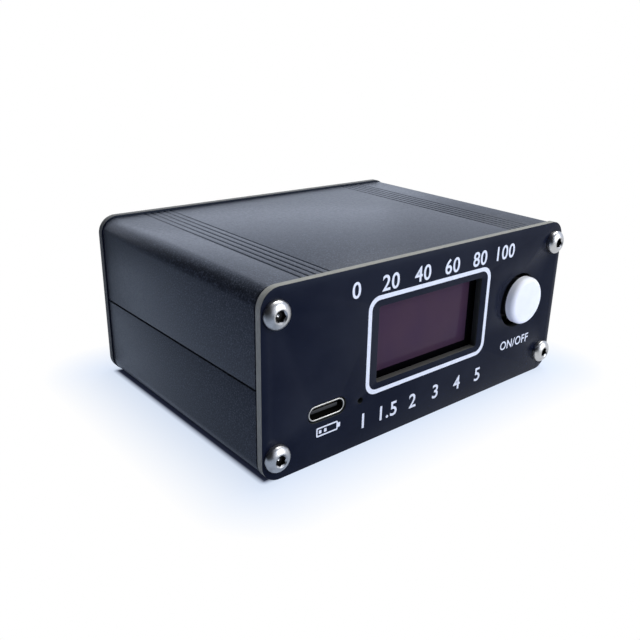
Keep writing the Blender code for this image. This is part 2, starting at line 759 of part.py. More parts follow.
def display_header_pins():
    first = -(DISPLAY_PIN_COUNT - 1) / 2
    return [DISPLAY_X + (first + index) * PIN_PITCH for index in range(DISPLAY_PIN_COUNT)]


def display_board(case):
    outline = rounded_rectangle(
        DISPLAY_BOARD_WIDTH, DISPLAY_BOARD_HEIGHT, BOARD_CORNER_RADIUS, (DISPLAY_X, MID_HEIGHT)
    )
    half_x = DISPLAY_BOARD_WIDTH / 2 - DISPLAY_HOLE_INSET
    half_z = DISPLAY_BOARD_HEIGHT / 2 - DISPLAY_HOLE_INSET
    corners = [
        circle(DISPLAY_HOLE_RADIUS, HOLE_STEPS, (DISPLAY_X + side_x * half_x, MID_HEIGHT + side_z * half_z))
        for side_x in (-1, 1)
        for side_z in (-1, 1)
    ]
    pins = [circle(PIN_HOLE_RADIUS, PIN_HOLE_STEPS, (x, DISPLAY_HEADER_Z)) for x in display_header_pins()]
    bm = extruded([outline, *corners, *pins], DISPLAY_BOARD_THICKNESS, UPRIGHT)
    place = (0, DISPLAY_BOARD_FRONT, 0)
    return placed("display_board", mesh_of(bm, "display_board"), board_green(), case, place)


def display_glass(case):
    outline = rounded_rectangle(GLASS_WIDTH, GLASS_HEIGHT, GLASS_CORNER_RADIUS, steps=2)
    bm = extruded([outline], GLASS_THICKNESS, UPRIGHT)
    place = (DISPLAY_X, GLASS_FRONT, GLASS_TOP - GLASS_HEIGHT / 2)
    return placed("display_glass", mesh_of(bm, "display_glass"), display_black(), case, place)


def display_header(case):
    """The pin strip that carries the display board on the front board."""
    length = DISPLAY_PIN_COUNT * PIN_PITCH
    strip = extruded([rectangle(length, HEADER_DEPTH)], HEADER_STANDOFF, UPRIGHT)
    place = (DISPLAY_X, DISPLAY_BOARD_REAR + SEAT_GAP, DISPLAY_HEADER_Z)
    piece = placed("display_header", mesh_of(strip, "display_header"), black_plastic(), case, place)
    pin_front = -SEAT_GAP - DISPLAY_BOARD_THICKNESS - PIN_STICK_OUT
    pin_rear = HEADER_STANDOFF + SEAT_GAP + BOARD_THICKNESS + PIN_STICK_OUT
    for index, x in enumerate(display_header_pins(), start=1):
        start = (0, pin_front, 0)
        pin = extruded([rectangle(PIN_SIDE, PIN_SIDE)], pin_rear - pin_front, UPRIGHT, start)
        pin_place = (x, place[1], place[2])
        combine(piece, helper(f"display_pin_{index}", pin, case, pin_place), "UNION")
    return piece


# Boards and the angled header between them


def link_pin_xs():
    first = -(LINK_PIN_COUNT - 1) / 2
    return [LINK_HEADER_X + (first + index) * PIN_PITCH for index in range(LINK_PIN_COUNT)]


def front_board(case):
    width = FRONT_BOARD_RIGHT - FRONT_BOARD_LEFT
    height = DISPLAY_BOARD_TOP - ON_BOARD
    middle = ((FRONT_BOARD_LEFT + FRONT_BOARD_RIGHT) / 2, ON_BOARD + height / 2)
    outline = rounded_rectangle(width, height, BOARD_CORNER_RADIUS, middle)
    centres = [(x, DISPLAY_HEADER_Z) for x in display_header_pins()]
    centres += [(x, LINK_PIN_Z) for x in link_pin_xs()]
    pins = [circle(PIN_HOLE_RADIUS, PIN_HOLE_STEPS, centre) for centre in centres]
    bm = extruded([outline, *pins], BOARD_THICKNESS, UPRIGHT)
    place = (0, FRONT_BOARD_FRONT, 0)
    return placed("front_board", mesh_of(bm, "front_board"), board_green(), case, place)


def link_pin_outline():
    """An angled pin seen from the side: through the front board, back past the strip and down."""
    half = PIN_SIDE / 2
    front = FRONT_BOARD_FRONT - PIN_STICK_OUT
    low = BOARD_BOTTOM - PIN_STICK_OUT
    return [
        (front, LINK_PIN_Z - half),
        (LINK_PIN_Y - half, LINK_PIN_Z - half),
        (LINK_PIN_Y - half, low),
        (LINK_PIN_Y + half, low),
        (LINK_PIN_Y + half, LINK_PIN_Z + half),
        (front, LINK_PIN_Z + half),
    ]


def link_header(case):
    length = LINK_PIN_COUNT * PIN_PITCH
    strip = extruded([rectangle(length, LINK_HEADER_SIDE)], LINK_HEADER_SIDE, UPRIGHT)
    place = (LINK_HEADER_X, LINK_HEADER_FRONT, LINK_PIN_Z)
    piece = placed("link_header", mesh_of(strip, "link_header"), black_plastic(), case, place)
    for index, x in enumerate(link_pin_xs(), start=1):
        pin = extruded([link_pin_outline()], PIN_SIDE, SIDEWAYS, (-PIN_SIDE / 2, 0, 0))
        combine(piece, helper(f"link_pin_{index}", pin, case, (x, 0, 0)), "UNION")
    return piece


def main_board_outline():
    left = DISPLAY_X - NOTCH_HALF_WIDTH
    right = DISPLAY_X + NOTCH_HALF_WIDTH
    return [
        (-BOARD_HALF_WIDTH, BOARD_FRONT),
        (left, BOARD_FRONT),
        (left, NOTCH_REAR),
        (right, NOTCH_REAR),
        (right, BOARD_FRONT),
        (BOARD_HALF_WIDTH, BOARD_FRONT),
        (BOARD_HALF_WIDTH, BOARD_REAR),
        (-BOARD_HALF_WIDTH, BOARD_REAR),
    ]


def main_board(case):
    pins = [circle(PIN_HOLE_RADIUS, PIN_HOLE_STEPS, (x, LINK_PIN_Y)) for x in link_pin_xs()]
    bm = extruded([main_board_outline(), *pins], BOARD_THICKNESS, FLAT)
    place = (0, 0, BOARD_BOTTOM)
    return placed("main_board", mesh_of(bm, "main_board"), board_green(), case, place)


def chip(name, width, depth, height, x, y, case):
    bm = extruded([rectangle(width, depth)], height, FLAT)
    piece = placed(name, mesh_of(bm, name), black_plastic(), case, (x, y, ON_BOARD))
    return softened(piece, CHIP_EDGE, segments=1)


def chips(case):
    half = PROCESSOR_SIDE / 2
    processor_x = PLUG_SOCKET_RIGHT + half + PROCESSOR_SIDE_SHARE * PROCESSOR_ROOM
    processor_y = ZONE_FRONT + half + PROCESSOR_DEPTH_SHARE * (ZONE_DEPTH - PROCESSOR_SIDE)
    port_rear = USB_SET_BACK + USB_LENGTH
    charger_room = ZONE_FRONT - port_rear - SMALL_CHIP_DEPTH
    charger_y = port_rear + SMALL_CHIP_DEPTH / 2 + CHARGER_PLACE_SHARE * charger_room
    small = (SMALL_CHIP_WIDTH, SMALL_CHIP_DEPTH, SMALL_CHIP_HEIGHT)
    chip("processor", PROCESSOR_SIDE, PROCESSOR_SIDE, PROCESSOR_HEIGHT, processor_x, processor_y, case)
    chip("charge_controller", *small, USB_X, charger_y, case)
    chip("detector_amplifier", *small, SOCKET_X / 2, LINE_Y, case)


# Push button


def switch_body(case):
    outline = rounded_rectangle(SWITCH_SIZE, SWITCH_SIZE, SWITCH_CORNER_RADIUS)
    bm = extruded([outline], SWITCH_BODY_HEIGHT, UPRIGHT)
    place = (BUTTON_X, SWITCH_FRONT, BUTTON_Z)
    piece = placed("switch_body", mesh_of(bm, "switch_body"), black_plastic(), case, place)
    well_depth = PLUNGER_BASE_DEPTH + BUTTON_TRAVEL + 2 * SEAT_GAP
    well_radius = PLUNGER_RADIUS + SEAT_GAP
    well = [(0, -CUT_OVERRUN), (well_radius, -CUT_OVERRUN), (well_radius, well_depth), (0, well_depth)]
    return combine(piece, helper("plunger_well", turned(well, MEDIUM_STEPS), case, place), "DIFFERENCE")


def switch_plunger(button):
    """The square stem and its round base, which sits in the switch body's well."""
    base_front = SWITCH_FRONT + SEAT_GAP
    base_rear = base_front + PLUNGER_BASE_DEPTH
    base = turned(
        [(0, base_front), (PLUNGER_RADIUS, base_front), (PLUNGER_RADIUS, base_rear), (0, base_rear)],
        MEDIUM_STEPS,
    )
    piece = placed("switch_plunger", mesh_of(base, "switch_plunger"), black_plastic(), button)
    stem_length = base_front + PLUNGER_BASE_DEPTH / 2 - STEM_FRONT
    stem = extruded([rectangle(STEM_SIDE, STEM_SIDE)], stem_length, UPRIGHT, (0, STEM_FRONT, 0))
    return combine(piece, helper("plunger_stem", stem, button), "UNION")


def cap_profile():
    front = -CAP_PROTRUSION
    edge_radius = min(CAP_EDGE_RADIUS, CAP_RADIUS / 2)
    rounded = arc(
        (CAP_RADIUS - edge_radius, front + edge_radius), edge_radius, -math.pi / 2, 0, CORNER_STEPS
    )
    ceiling = front + CAP_WALL
    inner_radius = CAP_RADIUS - CAP_WALL
    return [
        (0, front),
        *rounded,
        (CAP_RADIUS, CAP_REAR),
        (inner_radius, CAP_REAR),
        (inner_radius, ceiling),
        (CAP_BOSS_RADIUS, ceiling),
        (CAP_BOSS_RADIUS, CAP_REAR - SEAT_GAP),
        (0, CAP_REAR - SEAT_GAP),
    ]


def button_cap(button):
    """A hollow round cap, with a boss inside whose square hole grips the switch's stem."""
    bm = turned(cap_profile(), LARGE_STEPS)
    piece = placed("button_cap", mesh_of(bm, "button_cap"), white_plastic(), button, smooth=True)
    hole_side = STEM_SIDE + 2 * SEAT_GAP
    hole_front = STEM_FRONT - SEAT_GAP
    hole_length = CAP_REAR + CUT_OVERRUN - hole_front
    hole = extruded([rectangle(hole_side, hole_side)], hole_length, UPRIGHT, (0, hole_front, 0))
    return combine(piece, helper("stem_hole", hole, button), "DIFFERENCE")


# Charging port and indicator


def usb_shell(case):
    outer = rounded_rectangle(USB_WIDTH, USB_HEIGHT, USB_HEIGHT / 2)
    inner_height = USB_HEIGHT - 2 * USB_WALL
    inner = rounded_rectangle(USB_WIDTH - 2 * USB_WALL, inner_height, inner_height / 2)
    bm = extruded([outer, inner], USB_LENGTH, UPRIGHT)
    place = (USB_X, USB_SET_BACK, USB_Z)
    return placed("usb_shell", mesh_of(bm, "usb_shell"), nickel(), case, place, smooth=True)


def usb_tongue(case):
    """The port's insulating block and the contact tongue that reaches forward from it."""
    block_height = USB_HEIGHT - 2 * (USB_WALL + SEAT_GAP)
    block_width = USB_WIDTH - 2 * (USB_WALL + SEAT_GAP)
    rear = USB_SET_BACK + USB_LENGTH
    block = extruded(
        [rounded_rectangle(block_width, block_height, block_height / 2)],
        PORT_BLOCK_LENGTH,
        UPRIGHT,
        (0, rear - PORT_BLOCK_LENGTH, 0),
    )
    place = (USB_X, 0, USB_Z)
    piece = placed("usb_tongue", mesh_of(block, "usb_tongue"), black_plastic(), case, place)
    tongue_front = USB_SET_BACK + TONGUE_SET_BACK
    tongue = extruded(
        [rectangle(TONGUE_WIDTH, TONGUE_THICKNESS)],
        rear - PORT_BLOCK_LENGTH / 2 - tongue_front,
        UPRIGHT,
        (0, tongue_front, 0),
    )
    return combine(piece, helper("contact_tongue", tongue, case, place), "UNION")


def charge_indicator(case):
    outline = rounded_rectangle(LED_WIDTH, LED_HEIGHT, LED_CORNER_RADIUS, steps=3)
    bm = extruded([outline], LED_DEPTH, UPRIGHT)
    place = (LED_X, BOARD_FRONT, LED_Z)
    return placed("charge_indicator", mesh_of(bm, "charge_indicator"), insulator_white(), case, place)


# Coaxial sockets


def socket_profile():
    """Half section of a socket's barrel and rear boss, its mouth towards +Y from the flange's front."""
    rim = FLANGE_THICKNESS + BARREL_LENGTH
    boss = -BOSS_LENGTH
    step = FLANGE_THICKNESS / 2
    return [
        (BOSS_BORE_RADIUS, boss),
        (BOSS_RADIUS, boss),
        (BOSS_RADIUS, step),
        (BARREL_RADIUS, step),
        (BARREL_RADIUS, rim - BARREL_CHAMFER),
        (BARREL_RADIUS - BARREL_CHAMFER, rim),
        (BARREL_BORE_RADIUS, rim),
        (BARREL_BORE_RADIUS, FLANGE_THICKNESS),
        (BOSS_BORE_RADIUS, FLANGE_THICKNESS),
    ]


def coaxial_socket(socket_name, x, case):
    place = (x, FLANGE_FRONT, MID_HEIGHT)
    body = turned(socket_profile(), LARGE_STEPS, closed=True)
    piece = placed(f"{socket_name}_socket", mesh_of(body, "socket_body"), nickel(), case, place, smooth=True)
    holes = [
        circle(SCREW_HOLE_RADIUS, HOLE_STEPS, (side_x * FLANGE_HOLE_OFFSET, side_z * FLANGE_HOLE_OFFSET))
        for side_x in (-1, 1)
        for side_z in (-1, 1)
    ]
    outline = rounded_rectangle(FLANGE_SIDE, FLANGE_SIDE, FLANGE_CORNER_RADIUS, steps=3)
    middle = circle((BOSS_BORE_RADIUS + BOSS_RADIUS) / 2, LARGE_STEPS)
    flange = extruded([outline, middle, *holes], FLANGE_THICKNESS, UPRIGHT)
    combine(piece, helper(f"{socket_name}_flange", flange, case, place), "UNION")
    notch_start = FLANGE_THICKNESS + BARREL_LENGTH - BARREL_NOTCH_DEPTH
    notch_length = BARREL_NOTCH_DEPTH + CUT_OVERRUN
    across = 2 * (BARREL_RADIUS + CUT_OVERRUN)
    for index, size in enumerate(((across, BARREL_NOTCH_WIDTH), (BARREL_NOTCH_WIDTH, across)), start=1):
        notch = extruded([rectangle(*size)], notch_length, UPRIGHT, (0, notch_start, 0))
        combine(piece, helper(f"{socket_name}_notch_{index}", notch, case, place), "DIFFERENCE")
    return piece


def insulator_profile():
    hole = CONTACT_RADIUS + SEAT_GAP
    tail_hole = CONTACT_TAIL_RADIUS + SEAT_GAP
    seat = FLANGE_THICKNESS + SEAT_GAP
    face = FLANGE_THICKNESS + BARREL_LENGTH - INSULATOR_RECESS
    contact_rear = face + CONTACT_RISE - CONTACT_BORE_DEPTH - CUP_DEPTH / 2
    tail = -BOSS_LENGTH - INSULATOR_TAIL
    outer = BARREL_BORE_RADIUS - SEAT_GAP
    tail_outer = BOSS_BORE_RADIUS - SEAT_GAP
    return [
        (tail_hole, tail),
        (tail_outer, tail),
        (tail_outer, seat),
        (outer, seat),
        (outer, face),
        (hole, face),
        (hole, contact_rear - SEAT_GAP),
        (tail_hole, contact_rear - SEAT_GAP),
    ]


def contact_profile():
    front = FLANGE_THICKNESS + BARREL_LENGTH - INSULATOR_RECESS + CONTACT_RISE
    bore_floor = front - CONTACT_BORE_DEPTH
    shoulder = bore_floor - CUP_DEPTH / 2
    tail = CONTACT_END - FLANGE_FRONT
    cup_radius = LINE_WIRE_RADIUS + SEAT_GAP
    return [
        (0, bore_floor),
        (CONTACT_BORE_RADIUS, bore_floor),
        (CONTACT_BORE_RADIUS, front),
        (CONTACT_RADIUS, front),
        (CONTACT_RADIUS, shoulder),
        (CONTACT_TAIL_RADIUS, shoulder),
        (CONTACT_TAIL_RADIUS, tail),
        (cup_radius, tail),
        (cup_radius, tail + CUP_DEPTH),
        (0, tail + CUP_DEPTH),
    ]


def socket_insides(socket_name, x, case):
    place = (x, FLANGE_FRONT, MID_HEIGHT)
    filling = mesh_of(turned(insulator_profile(), MEDIUM_STEPS, closed=True), "insulator")
    sleeve = mesh_of(turned(contact_profile(), MEDIUM_STEPS), "contact")
    placed(f"{socket_name}_insulator", filling, insulator_white(), case, place, smooth=True)
    placed(f"{socket_name}_contact", sleeve, contact_gold(), case, place, smooth=True)


def coaxial_sockets(case):
    for socket_name, x in socket_places():
        coaxial_socket(socket_name, x, case)
        socket_insides(socket_name, x, case)


# Transformers


def core_mesh():
    """A ring core about the Y axis, with its edges chamfered."""
    half = CORE_HEIGHT / 2
    cut = CORE_CHAMFER
    profile = [
        (CORE_BORE_RADIUS, cut - half),
        (CORE_BORE_RADIUS + cut, -half),
        (CORE_RADIUS - cut, -half),
        (CORE_RADIUS, cut - half),
        (CORE_RADIUS, half - cut),
        (CORE_RADIUS - cut, half),
        (CORE_BORE_RADIUS + cut, half),
        (CORE_BORE_RADIUS, half - cut),
    ]
    return mesh_of(turned(profile, MEDIUM_STEPS, closed=True), "ring_core")


def winding_section():
    """One turn round the core's section: points of radius from the axis and place along it."""
    reach = SEAT_GAP + WINDING_WIRE_RADIUS
    width = CORE_RADIUS - CORE_BORE_RADIUS + 2 * reach
    height = CORE_HEIGHT + 2 * reach
    middle = ((CORE_RADIUS + CORE_BORE_RADIUS) / 2, 0)
    return rounded_rectangle(width, height, reach + CORE_CHAMFER, middle, steps=1)


def winding_points(turn_over):
    """One unbroken wire wound round a ring core, as a row of points, turned by turn_over at the end."""
    section = winding_section()
    total = WINDING_TURNS * len(section)
    span = 2 * math.pi * WINDING_SPAN_SHARE
    points = []
    for step in range(total + 1):
        radius, along = section[step % len(section)]
        angle = span * step / total - span / 2 - math.pi / 2
        points.append(turn_over @ Vector((radius * math.cos(angle), along, radius * math.sin(angle))))
    return points


def transformer(name, turn_over, place, core, case):
    piece = placed(f"{name}_core", core, ferrite(), case, place)
    piece.rotation_euler = turn_over.to_euler()
    points = [Vector(place) + point for point in winding_points(turn_over)]
    wire(f"{name}_winding", points, WINDING_WIRE_RADIUS, copper(), case, bevel_resolution=1)


def transformers(case):
    core = core_mesh()
    stand_across = Matrix.Rotation(math.pi / 2, 3, "Z")
    lie_flat = Matrix.Rotation(math.pi / 2, 3, "X")
    transformer("current", stand_across, (0, LINE_Y, CURRENT_CORE_Z), core, case)
    transformer("voltage", lie_flat, (VOLTAGE_CORE_X, VOLTAGE_CORE_Y, VOLTAGE_CORE_Z), core, case)


def line_half():
    """The wire's left half: out of the input contact, round a bend and in to the core's middle."""
    start_x = -SOCKET_X
    bend_y = LINE_Y + LINE_BEND_RADIUS
    cup_end = (start_x, CONTACT_END + CUP_DEPTH - SEAT_GAP, MID_HEIGHT)
    points = [cup_end, (start_x, bend_y + LINE_RUN_OUT, MID_HEIGHT)]
    turn_steps = 2 * CORNER_STEPS
    for step in range(turn_steps + 1):
        share = step / turn_steps
        angle = math.pi / 2 * share
        drop_share = share * share * (3 - 2 * share)
        x = start_x + LINE_BEND_RADIUS * (1 - math.cos(angle))
        y = bend_y - LINE_BEND_RADIUS * math.sin(angle)
        points.append((x, y, MID_HEIGHT + (CURRENT_CORE_Z - MID_HEIGHT) * drop_share))
    points.append((start_x / 2, LINE_Y, CURRENT_CORE_Z))
    return points


def through_line(case):
    left = line_half()
    right = [(-x, y, z) for x, y, z in reversed(left)]
    return wire("through_line", left + right, LINE_WIRE_RADIUS, copper(), case)


# Battery and its plug


def battery(case):
    width = BATTERY_RIGHT_X - BATTERY_LEFT_X
    outline = rounded_rectangle(width, ZONE_DEPTH, BATTERY_EDGE_RADIUS)
    bm = extruded([outline], BATTERY_HEIGHT, FLAT)
    place = ((BATTERY_RIGHT_X + BATTERY_LEFT_X) / 2, (ZONE_FRONT + ZONE_REAR) / 2, ON_BOARD)
    piece = placed("battery", mesh_of(bm, "battery"), battery_foil(), case, place)
    return softened(piece, BATTERY_EDGE_RADIUS / 2, segments=2)


def battery_plug(case):
    bm = extruded([rectangle(PLUG_WIDTH, PLUG_HEIGHT)], PLUG_LENGTH, SIDEWAYS)
    place = (PLUG_LEFT_X, PLUG_Y, PLUG_Z)
    return placed("battery_plug", mesh_of(bm, "battery_plug"), insulator_white(), case, place)


def battery_socket(case):
    """A housing open to the left, whose cavity holds the plug."""
    inner_width = PLUG_WIDTH + 2 * SEAT_GAP
    inner_height = PLUG_HEIGHT + 2 * SEAT_GAP
    outer = rectangle(PLUG_SOCKET_WIDTH, inner_height + 2 * PLUG_SOCKET_WALL)
    bm = extruded([outer], PLUG_CAVITY_DEPTH + PLUG_SOCKET_WALL, SIDEWAYS)
    place = (PLUG_SOCKET_LEFT, PLUG_Y, PLUG_Z)
    piece = placed("battery_socket", mesh_of(bm, "battery_socket"), black_plastic(), case, place)
    cavity = extruded(
        [rectangle(inner_width, inner_height)],
        PLUG_CAVITY_DEPTH + CUT_OVERRUN,
        SIDEWAYS,
        (-CUT_OVERRUN, 0, 0),
    )
    return combine(piece, helper("plug_cavity", cavity, case, place), "DIFFERENCE")


def battery_leads(case):
    """Two short leads from the battery's side to the plug, each in one shallow arch."""
    steps = 2 * CORNER_STEPS
    start_x = BATTERY_RIGHT_X + SEAT_GAP
    for name, side, material in (("plus", 1, red_lead()), ("minus", -1, black_plastic())):
        y = PLUG_Y + side * LEAD_PITCH / 2
        points = []
        for step in range(steps + 1):
            share = step / steps
            rise = LEAD_RISE * math.sin(math.pi * share) ** 2
            points.append((start_x + LEAD_LENGTH * share, y, PLUG_Z + rise))
        wire(f"battery_lead_{name}", points, LEAD_RADIUS, material, case)


def build_case(case):
    half_shells(case)
    front_panel(case)
    rear_panel(case)
    fasteners(case)


def build_display(case):
    display_board(case)
    display_glass(case)
    display_header(case)


def build_boards(case):
    front_board(case)
    link_header(case)
    main_board(case)
    chips(case)
    usb_shell(case)
    usb_tongue(case)
    charge_indicator(case)


def build_button(case):
    button = empty("button_axis", case, (BUTTON_X, 0, BUTTON_Z))
    switch_body(case)
    switch_plunger(button)
    button_cap(button)


def build_radio_parts(case):
    coaxial_sockets(case)
    transformers(case)
    through_line(case)


def build_battery(case):
    battery(case)
    battery_plug(case)
    battery_socket(case)
    battery_leads(case)


def main():
    clear_scene()
    case = empty("case_origin", place=(0, -OBJECT_MIDDLE_Y, 0))
    build_case(case)
    build_display(case)
    build_boards(case)
    build_button(case)
    build_radio_parts(case)
    build_battery(case)


main()
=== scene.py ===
"""Looks of a pocket radio power and standing wave ratio meter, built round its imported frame.

Lengths are in metres. X runs to the right along the front panel, Y to the rear and Z up.
"""

import logging
import math
from collections.abc import Iterable, Sequence
from dataclasses import dataclass
from enum import Enum
from typing import ClassVar

import bmesh
import bpy
from mathutils import Matrix, Vector


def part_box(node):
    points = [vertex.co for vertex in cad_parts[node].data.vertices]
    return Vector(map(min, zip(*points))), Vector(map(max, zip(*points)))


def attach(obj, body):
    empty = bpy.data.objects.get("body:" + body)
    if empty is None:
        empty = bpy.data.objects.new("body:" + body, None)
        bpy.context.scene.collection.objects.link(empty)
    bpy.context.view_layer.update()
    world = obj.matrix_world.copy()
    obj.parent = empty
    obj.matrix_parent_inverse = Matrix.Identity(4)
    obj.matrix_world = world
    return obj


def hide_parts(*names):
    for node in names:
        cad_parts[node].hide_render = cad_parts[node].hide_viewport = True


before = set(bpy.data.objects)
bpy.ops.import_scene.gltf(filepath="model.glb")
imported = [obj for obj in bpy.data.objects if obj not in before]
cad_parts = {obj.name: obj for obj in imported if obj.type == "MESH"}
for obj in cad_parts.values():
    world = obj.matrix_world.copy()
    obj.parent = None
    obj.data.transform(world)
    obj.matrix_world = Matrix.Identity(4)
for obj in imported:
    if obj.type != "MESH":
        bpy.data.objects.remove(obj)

BMesh = bmesh.types.BMesh
Material = bpy.types.Material
Mesh = bpy.types.Mesh
Object = bpy.types.Object
Socket = bpy.types.NodeSocket
Colour = tuple[float, float, float]
Point = tuple[float, float]

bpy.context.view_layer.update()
WELD = 1e-7
SHARP = math.radians(35)
NOISE_BAND: Point = (0.3, 0.7)
ORIGIN = (0, 0, 0)
log = logging.getLogger("meter")


class Body(Enum):
    """The frame's rigid bodies."""

    CASE = "case"
    BUTTON = "button"


@dataclass(frozen=True)
class Box:
    """The lowest and highest corner of one node, or of several together."""

    low: Vector
    high: Vector

    @classmethod
    def of(cls, *nodes: str) -> "Box":
        """The box round these nodes of the frame.

        Args:
            nodes: Names of nodes.

        Returns:
            The box, in the frame's own place.
        """
        corners = [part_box(node) for node in nodes]
        low = Vector(min(corner[0][axis] for corner in corners) for axis in range(3))
        high = Vector(max(corner[1][axis] for corner in corners) for axis in range(3))
        return cls(low, high)

    @property
    def centre(self) -> Vector:
        """The middle of the box."""
        return (self.low + self.high) / 2

    @property
    def size(self) -> Vector:
        """The box's length along each axis."""
        return self.high - self.low

    @property
    def middle(self) -> Point:
        """The middle in X and Z."""
        return (self.centre.x, self.centre.z)


# Finishes


class Nodes:
    """A node tree, with short calls for what every tree here needs."""

    def __init__(self, tree: bpy.types.NodeTree) -> None:
        """Keeps the tree that the nodes are added to."""
        self.tree = tree

    def feed(self, socket: Socket, value: object) -> None:
        """Links a socket's source, or sets its value.

        Args:
            socket: The input.
            value: An output to link, or a value; a colour is given without its fourth number.
        """
        if isinstance(value, Socket):
            self.tree.links.new(value, socket)
        elif isinstance(value, tuple) and socket.type == "RGBA":
            socket.default_value = (*value, 1)
        else:
            socket.default_value = value

    def node(self, kind: str, inputs: dict | None = None, **settings: object) -> bpy.types.Node:
        """Adds a node.

        Args:
            kind: Blender's name for the node's type.
            inputs: Values or sources by input name or index.
            settings: The node's own properties.

        Returns:
            The node.
        """
        made = self.tree.nodes.new(kind)
        for name, value in settings.items():
            setattr(made, name, value)
        for key, value in (inputs or {}).items():
            self.feed(made.inputs[key], value)
        return made

    def out(self, kind: str, inputs: dict | None = None, **settings: object) -> Socket:
        """Adds a node and gives its first output."""
        made = self.node(kind, inputs, **settings)
        return made.outputs[0]

    def maths(self, operation: str, first: object, second: object = 0.0) -> Socket:
        """Joins two numbers by an operation, such as ADD or MULTIPLY."""
        return self.out("ShaderNodeMath", {0: first, 1: second}, operation=operation)

    def vectors(self, operation: str, *given: object, result: str | int = 0) -> Socket:
        """Joins vectors by an operation; one that gives a number has the result "Value"."""
        return self.node("ShaderNodeVectorMath", dict(enumerate(given)), operation=operation).outputs[result]

    def span(self, value: object, source: Point, target: Point = (0, 1)) -> Socket:
        """Maps a number from one range to another, held at the ends."""
        ends = dict(enumerate((*source, *target), start=1))
        return self.out("ShaderNodeMapRange", {"Value": value, **ends})

    def blend(self, share: object, first: object, second: object) -> Socket:
        """Mixes two colours: the first at a share of 0, the second at 1."""
        return self.node("ShaderNodeMix", {0: share, 6: first, 7: second}, data_type="RGBA").outputs[2]


class Graph(Nodes):
    """A material's node tree, with the textures that the finishes share."""

    def __init__(self, name: str) -> None:
        """Makes a material with one Principled shader.

        Args:
            name: The material's name.
        """
        self.material = bpy.data.materials.new(name)
        self.material.use_nodes = True
        super().__init__(self.material.node_tree)
        self.shader = self.tree.nodes["Principled BSDF"]
        self.place = self.node("ShaderNodeTexCoord").outputs["Object"]

    def spot(self, centre: Vector | None = None, stretch: Sequence[float] = (1, 1, 1)) -> Socket:
        """The place on the piece, counted from a centre and stretched along each axis."""
        start = [-value for value in (centre or Vector((0, 0, 0)))]
        return self.vectors("MULTIPLY", self.vectors("ADD", self.place, start), stretch)

    def noise(self, grain: float, detail: float = 2, stretch: Sequence[float] = (1, 1, 1)) -> Socket:
        """Noise with grains of about the given size, as a number from 0 to 1."""
        inputs = {"Vector": self.spot(stretch=stretch), "Scale": 1 / grain, "Detail": detail}
        return self.node("ShaderNodeTexNoise", inputs).outputs["Fac"]

    def cells(self, grain: float) -> Socket:
        """Distance to the nearest of scattered points that lie about a grain apart."""
        inputs = {"Vector": self.spot(), "Scale": 1 / grain}
        return self.node("ShaderNodeTexVoronoi", inputs).outputs["Distance"]

    def axis(self, index: int, centre: Vector | None = None) -> Socket:
        """One coordinate of the place on the piece."""
        return self.node("ShaderNodeSeparateXYZ", {0: self.spot(centre)}).outputs[index]

    def radius(self, centre: Vector) -> Socket:
        """Distance from an axis that runs along Y through the centre."""
        return self.vectors("LENGTH", self.spot(centre, (1, 0, 1)), result="Value")

    def waves(self, place: object, count: float) -> Socket:
        """A sine from -1 to 1 with a number of waves to each unit of the place."""
        return self.maths("SINE", self.maths("MULTIPLY", place, 2 * math.pi * count))

    def edges(self, width: float, share: float) -> Socket:
        """How near an outer edge is: 0 on flats, up to a share on the edge.

        Args:
            width: The width of the band along an edge.
            share: The number on the edge itself.

        Returns:
            The number.
        """
        turned = (1.0, 0.8)
        rounded_off = self.out("ShaderNodeBevel", {"Radius": width}, samples=4)
        flat = self.node("ShaderNodeNewGeometry").outputs["Normal"]
        return self.span(self.vectors("DOT_PRODUCT", rounded_off, flat, result="Value"), turned, (0, share))

    def patched(
        self, cloud: object, source: Point, share: float, colour: object, patch: object
    ) -> Socket:
        """A colour with patches of another, up to a share, where a cloud is high."""
        return self.blend(self.span(cloud, source, (0, share)), colour, patch)

    def relief(self, height: object, depth: float, strength: float = 0.5) -> None:
        """Raises the surface by a height of 0 to 1, times a depth."""
        inputs = {"Height": height, "Distance": depth, "Strength": strength}
        self.feed(self.shader.inputs["Normal"], self.out("ShaderNodeBump", inputs))

    def dress(self, **values: object) -> Material:
        """Sets the shader's inputs and returns the material.

        Args:
            values: Values or sources by input name, in lower case with underscores.

        Returns:
            The finished material.
        """
        for name, value in values.items():
            words = name.replace("_", " ").title().replace("Ior", "IOR")
            self.feed(self.shader.inputs[words], value)
        return self.material


